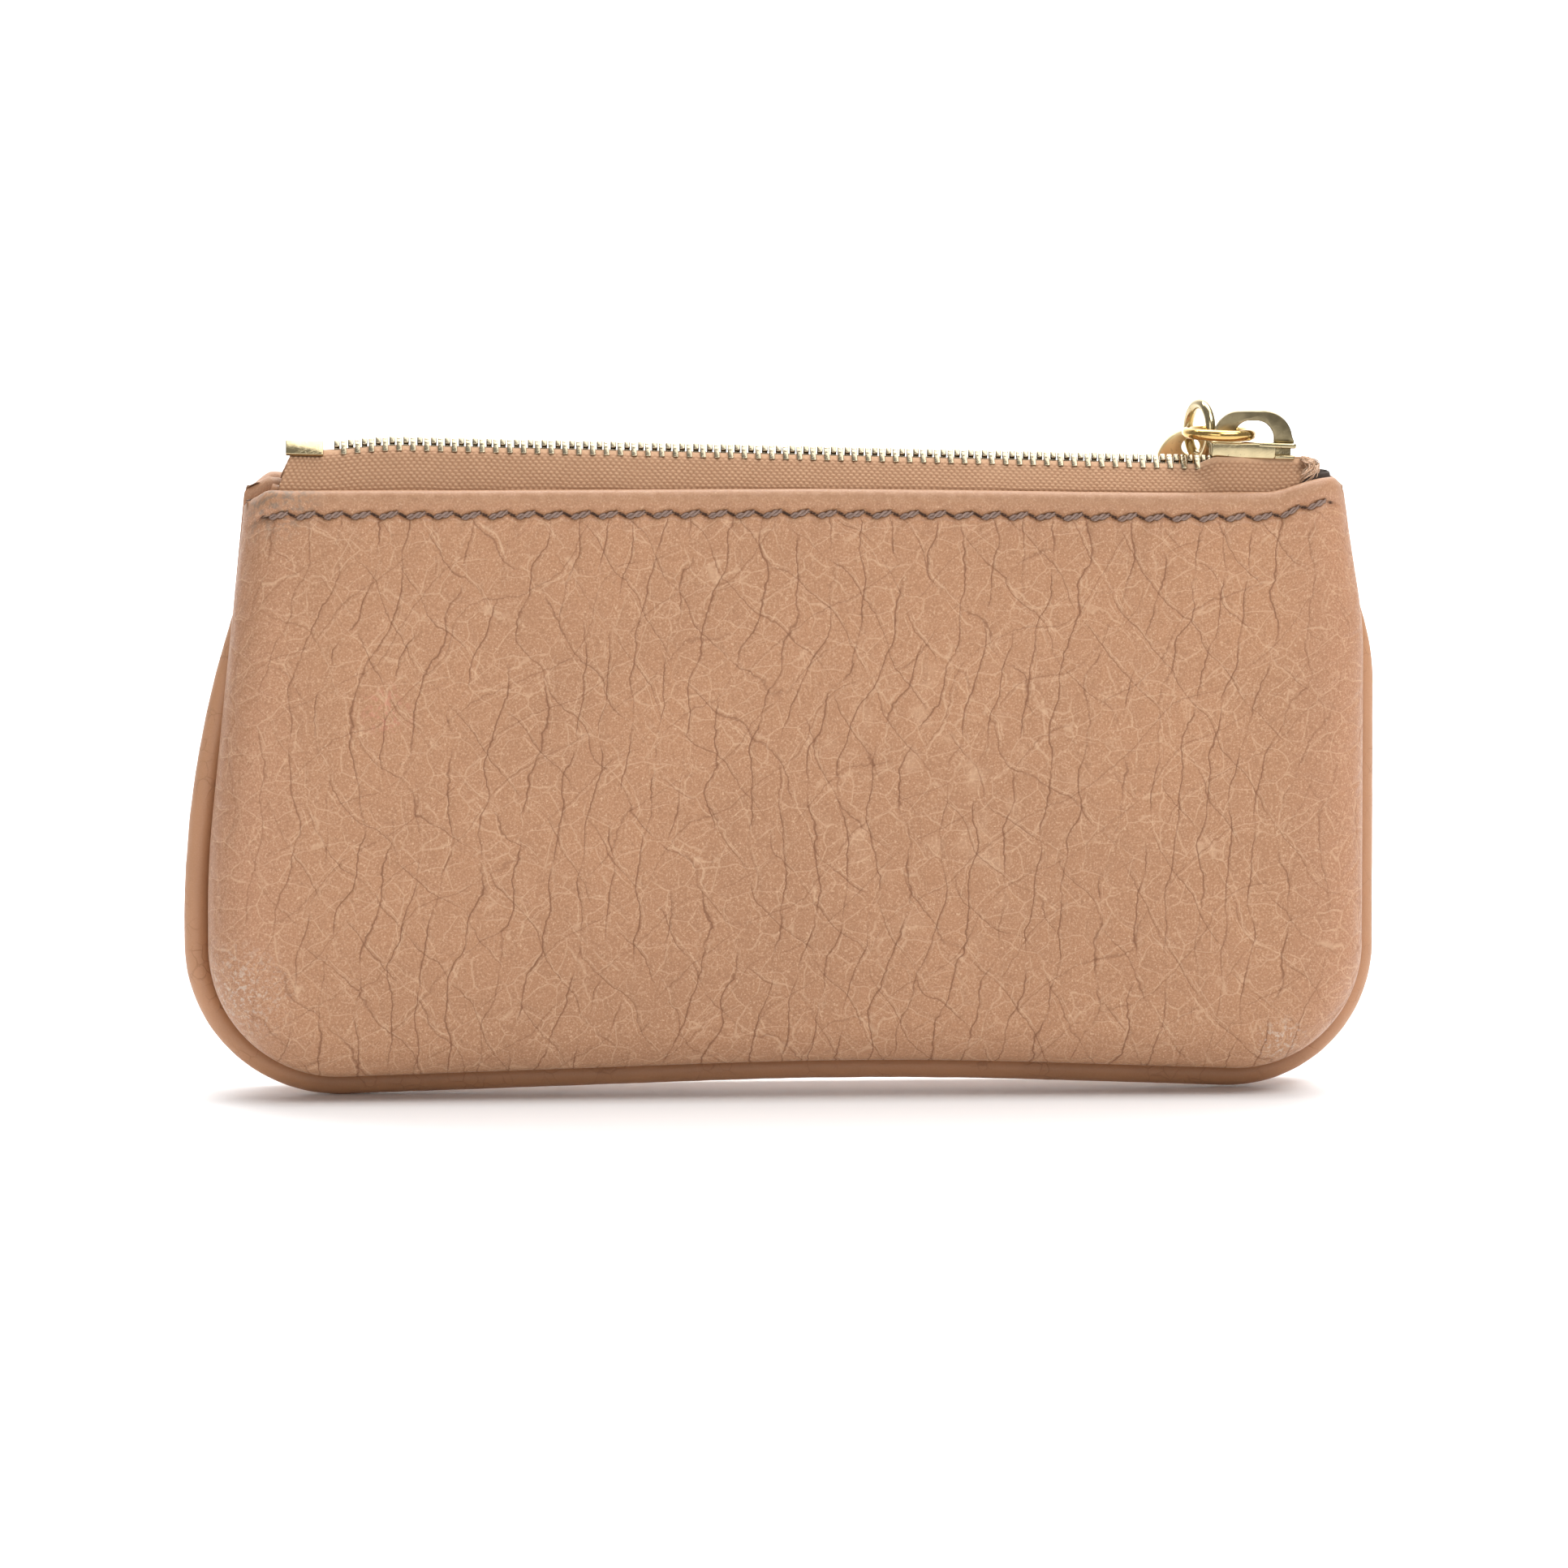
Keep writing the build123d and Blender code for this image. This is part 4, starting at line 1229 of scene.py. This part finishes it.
def torus_points(centre, normal, major, minor, around=96, section=28):
    normal = Vector(normal).normalized()
    first = normal.orthogonal().normalized()
    second = normal.cross(first)
    points = []
    for k in range(around):
        angle = 2 * math.pi * k / around
        out = first * math.cos(angle) + second * math.sin(angle)
        for s in range(section):
            turn = 2 * math.pi * s / section
            points.append(np.array(centre) + np.array(out) * (major + minor * math.cos(turn))
                          + np.array(normal) * minor * math.sin(turn))
    return np.array(points), grid_faces(around, section, closed_rows=True, closed_columns=True, flip=True)


def fraying_points(top, seed, count):
    """Loose strands that curl over the cut end of a tape and down towards the hem."""
    rng = random.Random(seed)
    shapes = []
    for _ in range(count):
        reach = rng.uniform(0.8, 1.9)
        fall = rng.uniform(1.6, 3.4)
        shift = np.array([rng.uniform(-0.4, 0.3), rng.uniform(-1.3, 0.6), rng.uniform(-0.35, 0.15)])
        sway = rng.uniform(-0.35, 0.35)
        path = []
        for t in np.linspace(0, 1, 9):
            bend = math.sin(math.pi * min(1.0, t * 0.95 + 0.05))
            place = top + shift + np.array([reach * bend, sway * t - 0.9 * t, -fall * t + 0.25 * bend])
            path.append(place + np.array([rng.uniform(-0.07, 0.07) for _ in range(3)]))
        shapes.append(fibre_tube(np.array(path), rng.uniform(0.07, 0.13)))
    return join_shapes(shapes)


def fibre_tube(path, radius, around=5):
    """Thin tube along a short path, tapering to its end."""
    tangent = np.gradient(path, axis=0)
    tangent /= np.linalg.norm(tangent, axis=1)[:, None]
    points = []
    for k, (spot, direction) in enumerate(zip(path, tangent)):
        first = Vector(direction).orthogonal().normalized()
        second = Vector(direction).cross(first)
        size = radius * (1.0 - 0.6 * k / (len(path) - 1))
        for a in range(around):
            turn = 2 * math.pi * a / around
            across = np.array(first) * size * math.cos(turn)
            points.append(spot + across + np.array(second) * size * math.sin(turn))
    faces = grid_faces(len(path), around, closed_columns=True, flip=True)
    return np.array(points), faces + end_caps(len(path), around)


# ---------------------------------------------------------------- operators


class POUCH_OT_leather_panels(bpy.types.Operator):
    """Pebbled front and back, with the rolled hem and rounded edges"""

    bl_idname = "pouch.leather_panels"
    bl_label = "Leather Panels"

    def execute(self, context):
        step = context.scene.pouch_leather.grid_step / MM * 1.0
        for side, name, place in HALVES:
            points, faces, fields = panel_form(side, 0.0, step, True)
            place(f"{name}_leather", points, faces, [f"{name}_panel"], "leather", fields)
        return {"FINISHED"}


class POUCH_OT_linings(bpy.types.Operator):
    """Dark cloth lining inside each half"""

    bl_idname = "pouch.linings"
    bl_label = "Linings"

    def execute(self, context):
        for side, name, place in HALVES:
            points, faces = panel_form(side, 1.7, 2.0, False)
            sink_lining(points)
            place(f"{name}_lining_cloth", points, faces, [f"{name}_lining"], "lining_cloth")
        return {"FINISHED"}


class POUCH_OT_piping(bpy.types.Operator):
    """Covered piping in the side and bottom seam"""

    bl_idname = "pouch.piping"
    bl_label = "Piping"

    def execute(self, context):
        radius = context.scene.pouch_leather.piping_radius / MM
        points, faces = join_shapes([piping_points(radius), flange_points()])
        settle_back("seam_piping", points, faces, ["piping_cover"], "piping_leather")
        filler = frame["nodes"]["piping_cord"]
        filler.data.materials.clear()
        filler.data.materials.append(finish_of("filler_cord"))
        return {"FINISHED"}


class POUCH_OT_topstitching(bpy.types.Operator):
    """Slanted stitches along both hems"""

    bl_idname = "pouch.topstitching"
    bl_label = "Topstitching"

    def execute(self, context):
        for side, name, place in HALVES:
            place(f"{name}_stitches", *stitch_points(side), [f"{name}_stitching"], "thread")
        return {"FINISHED"}


class POUCH_OT_zip_tapes(bpy.types.Operator):
    """Woven tapes and the frayed end at the right"""

    bl_idname = "pouch.zip_tapes"
    bl_label = "Zip Tapes"

    def execute(self, context):
        step = 0.15 * 1.0
        for side, name, place in HALVES:
            points, faces, gap = tape_points(side, step)
            place(f"{name}_tape", points, faces, [f"{name}_zip_tape"], "tape_cloth", {"gap": gap})
        end = TAPE_HIGH[0]
        points, faces = fraying_points(np.array([end - 1.1, -2.3, float(chain_z(end)) - 0.1]), 5, 130)
        piece = make_piece("tape_fraying", points, faces, "frayed")
        settle(piece, "back_half", [])
        return {"FINISHED"}


class POUCH_OT_zip_teeth(bpy.types.Operator):
    """Two rows of metal teeth and the stops"""

    bl_idname = "pouch.zip_teeth"
    bl_label = "Zip Teeth"

    def execute(self, context):
        for side, name, place in HALVES:
            place(f"{name}_teeth", *teeth_points(side), [f"{name}_zip_teeth"], "tooth_metal")
        middle = (BOTTOM_STOP_LOW[0] + BOTTOM_STOP_HIGH[0]) / 2
        length = BOTTOM_STOP_HIGH[0] - BOTTOM_STOP_LOW[0]
        wing = ((-0.35, 0.95), (1.9, 0.95), (1.9, 0.42), (-0.35, 0.42))
        points, faces = join_shapes([tent_block(wing, side, length, 0.14, 3) for side in (-1, 1)])
        settle_back("bottom_clip", on_chain(points, middle), faces, ["bottom_stop"], "gold_metal")
        stop_x = (TOP_STOP_LOW[0] + TOP_STOP_HIGH[0]) / 2
        clamp = ((0.82, 0.6), (1.9, 0.6), (1.9, -0.6), (0.82, -0.6))
        for side, name, place in HALVES:
            points, faces = tent_block(clamp, side, 1.3, 0.15, 3)
            place(f"{name}_stop", on_chain(points, stop_x), faces, [f"{name}_top_stop"], "tooth_metal")
        return {"FINISHED"}


class POUCH_OT_slider(bpy.types.Operator):
    """Zip slider with its upright loop"""

    bl_idname = "pouch.slider"
    bl_label = "Slider"

    def execute(self, context):
        points, faces = slider_points()
        piece = make_piece("slider_casting", place_on_slider(points), faces, "gold_metal")
        settle(piece, "slider", ["slider_body"])
        points, faces = crown_points()
        piece = make_piece("slider_loop", place_on_slider(points + LOOP_PLACE), faces, "crown_metal")
        settle(piece, "slider", ["slider_crown"])
        return {"FINISHED"}


class POUCH_OT_pull(bpy.types.Operator):
    """Two rings and the round tag of the pull"""

    bl_idname = "pouch.pull"
    bl_label = "Pull"

    def execute(self, context):
        sizes = context.scene.pouch_zip
        up = Vector((math.sin(CHAIN_SLOPE), 0, math.cos(CHAIN_SLOPE)))
        rings = (("pull_link", "link_ring", up, LINK_LOW, LINK_HIGH, 1, sizes.link_wire, "link_metal"),
                 ("pull_ring", "charm_ring", JOINTS["charm_ring_swing"]["axis"], CHARM_LOW, CHARM_HIGH, 2,
                  sizes.charm_wire, "gold_metal"))
        for name, node, normal, low, high, widest, wire, metal in rings:
            major = (high[widest] - low[widest]) / 2 - wire / MM
            points, faces = torus_points((low + high) / 2, normal, major, wire / MM)
            settle(make_piece(name, points, faces, metal), node, [node])
        points, faces = tag_points()
        settle(make_piece("pull_tag", points, faces, "tag_metal"), "round_tag", ["round_tag"])
        return {"FINISHED"}


def tag_points():
    """Plain round tag with a raised rim, in the place of its frame node."""
    radius, hole_radius, hole_offset, thickness = 5.3, 1.15, 2.8, 1.0
    lean, roll = 16, 20
    outline = arc((0, 0), radius, 0, 360, 73)[:-1]
    hole = arc((0, hole_offset), hole_radius, 0, 360, 37)[:-1]
    plate, faces = plate_shape([outline, hole], thickness, 0.28, 3)
    raised = smooth_step(radius - 1.3, radius - 0.9, np.hypot(plate[:, 0], plate[:, 1]))
    plate[:, 2] *= 0.86 + 0.14 * raised
    hung = plate + np.array([0, -hole_offset, 0])
    turn = Matrix.Rotation(math.radians(90 + lean), 3, "X") @ Matrix.Rotation(math.radians(roll), 3, "Z")
    turn = Matrix.Rotation(CHAIN_SLOPE, 3, "Y") @ turn
    pin = np.array(JOINTS["tag_swing"]["pos_m"]) / MM
    return hung @ np.array(turn).T + pin, faces


class POUCH_OT_stage(bpy.types.Operator):
    """Pale floor and backdrop, soft lights and the camera"""

    bl_idname = "pouch.stage"
    bl_label = "Stage"

    def execute(self, context):
        reach, bend_start, bend, top = 6.0, 0.9, 0.5, 1.9
        run = [(-reach, 0.0), (bend_start, 0.0)] + arc((bend_start, bend), bend, -80, 0, 9)
        run.append((bend_start + bend, top))
        points = [(x / MM, y / MM, z / MM + FLOOR) for y, z in run for x in (-reach, reach)]
        context.scene.view_settings.view_transform = "Standard"
        floor = make_piece("studio_floor", points, grid_faces(len(run), 2, flip=True), "studio")
        self.light("key_softbox", (0.50, -0.55, 0.95), (0, 0, 0.04), 0.8, 0.5, 8.0)
        self.light("top_softbox", (0.15, 0.20, 1.05), (0, 0, 0.05), 1.1, 0.7, 8.5)
        self.light("front_fill", (-0.30, -1.15, 0.50), (0, 0, 0.04), 0.7, 0.5, 2.2)
        self.light("backdrop_wash", (0.0, 0.55, 1.3), (0, 1.3, 0.5), 1.6, 0.5, 30.0)
        world = bpy.data.worlds.new("studio")
        world.use_nodes = True
        backdrop = world.node_tree.nodes["Background"]
        backdrop.inputs["Color"].default_value = (1.0, 0.995, 0.99, 1.0)
        backdrop.inputs["Strength"].default_value = 0.32
        context.scene.world = world
        camera_data = bpy.data.cameras.new("camera")
        camera_data.lens = 164.5
        camera_data.sensor_width = 36.0
        camera_data.clip_start = 0.01
        camera = bpy.data.objects.new("camera", camera_data)
        context.scene.collection.objects.link(camera)
        target, distance = Vector((0.0003, 0.0, 0.0394)), 0.9
        azimuth, elevation = math.radians(-3.0), math.radians(7.0)
        back = Vector((math.sin(azimuth) * math.cos(elevation), -math.cos(azimuth) * math.cos(elevation),
                       math.sin(elevation)))
        camera.location = target + back * distance
        camera.rotation_euler = (-back).to_track_quat("-Z", "Y").to_euler()
        context.scene.camera = camera
        return {"FINISHED"}

    def light(self, name, place, aim, width, height, power):
        data = bpy.data.lights.new(name, "AREA")
        data.shape = "RECTANGLE"
        data.size = width
        data.size_y = height
        data.energy = power
        lamp = bpy.data.objects.new(name, data)
        bpy.context.scene.collection.objects.link(lamp)
        lamp.location = place
        direction = Vector(aim) - Vector(place)
        lamp.rotation_euler = direction.to_track_quat("-Z", "Y").to_euler()


OPERATORS = (
    POUCH_OT_leather_panels, POUCH_OT_linings, POUCH_OT_piping, POUCH_OT_topstitching, POUCH_OT_zip_tapes,
    POUCH_OT_zip_teeth, POUCH_OT_slider, POUCH_OT_pull, POUCH_OT_stage,
)


class POUCH_PT_sidebar(bpy.types.Panel):
    """Sizes, colours and building steps of the pouch"""

    bl_idname = "POUCH_PT_sidebar"
    bl_label = "Zippered Pouch"
    bl_space_type = "VIEW_3D"
    bl_region_type = "UI"
    bl_category = "Pouch"

    def draw(self, context):
        for group in (context.scene.pouch_leather, context.scene.pouch_zip, context.scene.pouch_colours):
            column = self.layout.column()
            for name in group.__annotations__:
                column.prop(group, name)
        for operator in OPERATORS:
            self.layout.operator(operator.bl_idname)


CLASSES = (PouchLeather, PouchZip, PouchColours, *OPERATORS, POUCH_PT_sidebar)


def register():
    for entry in CLASSES:
        bpy.utils.register_class(entry)
    bpy.types.Scene.pouch_leather = PointerProperty(type=PouchLeather)
    bpy.types.Scene.pouch_zip = PointerProperty(type=PouchZip)
    bpy.types.Scene.pouch_colours = PointerProperty(type=PouchColours)


def unregister():
    del bpy.types.Scene.pouch_colours
    del bpy.types.Scene.pouch_zip
    del bpy.types.Scene.pouch_leather
    for entry in reversed(CLASSES):
        bpy.utils.unregister_class(entry)


def main():
    register()
    bpy.ops.pouch.leather_panels()
    bpy.ops.pouch.linings()
    bpy.ops.pouch.piping()
    bpy.ops.pouch.topstitching()
    bpy.ops.pouch.zip_tapes()
    bpy.ops.pouch.zip_teeth()
    bpy.ops.pouch.slider()
    bpy.ops.pouch.pull()
    bpy.ops.pouch.stage()


if __name__ == "__main__":
    main()
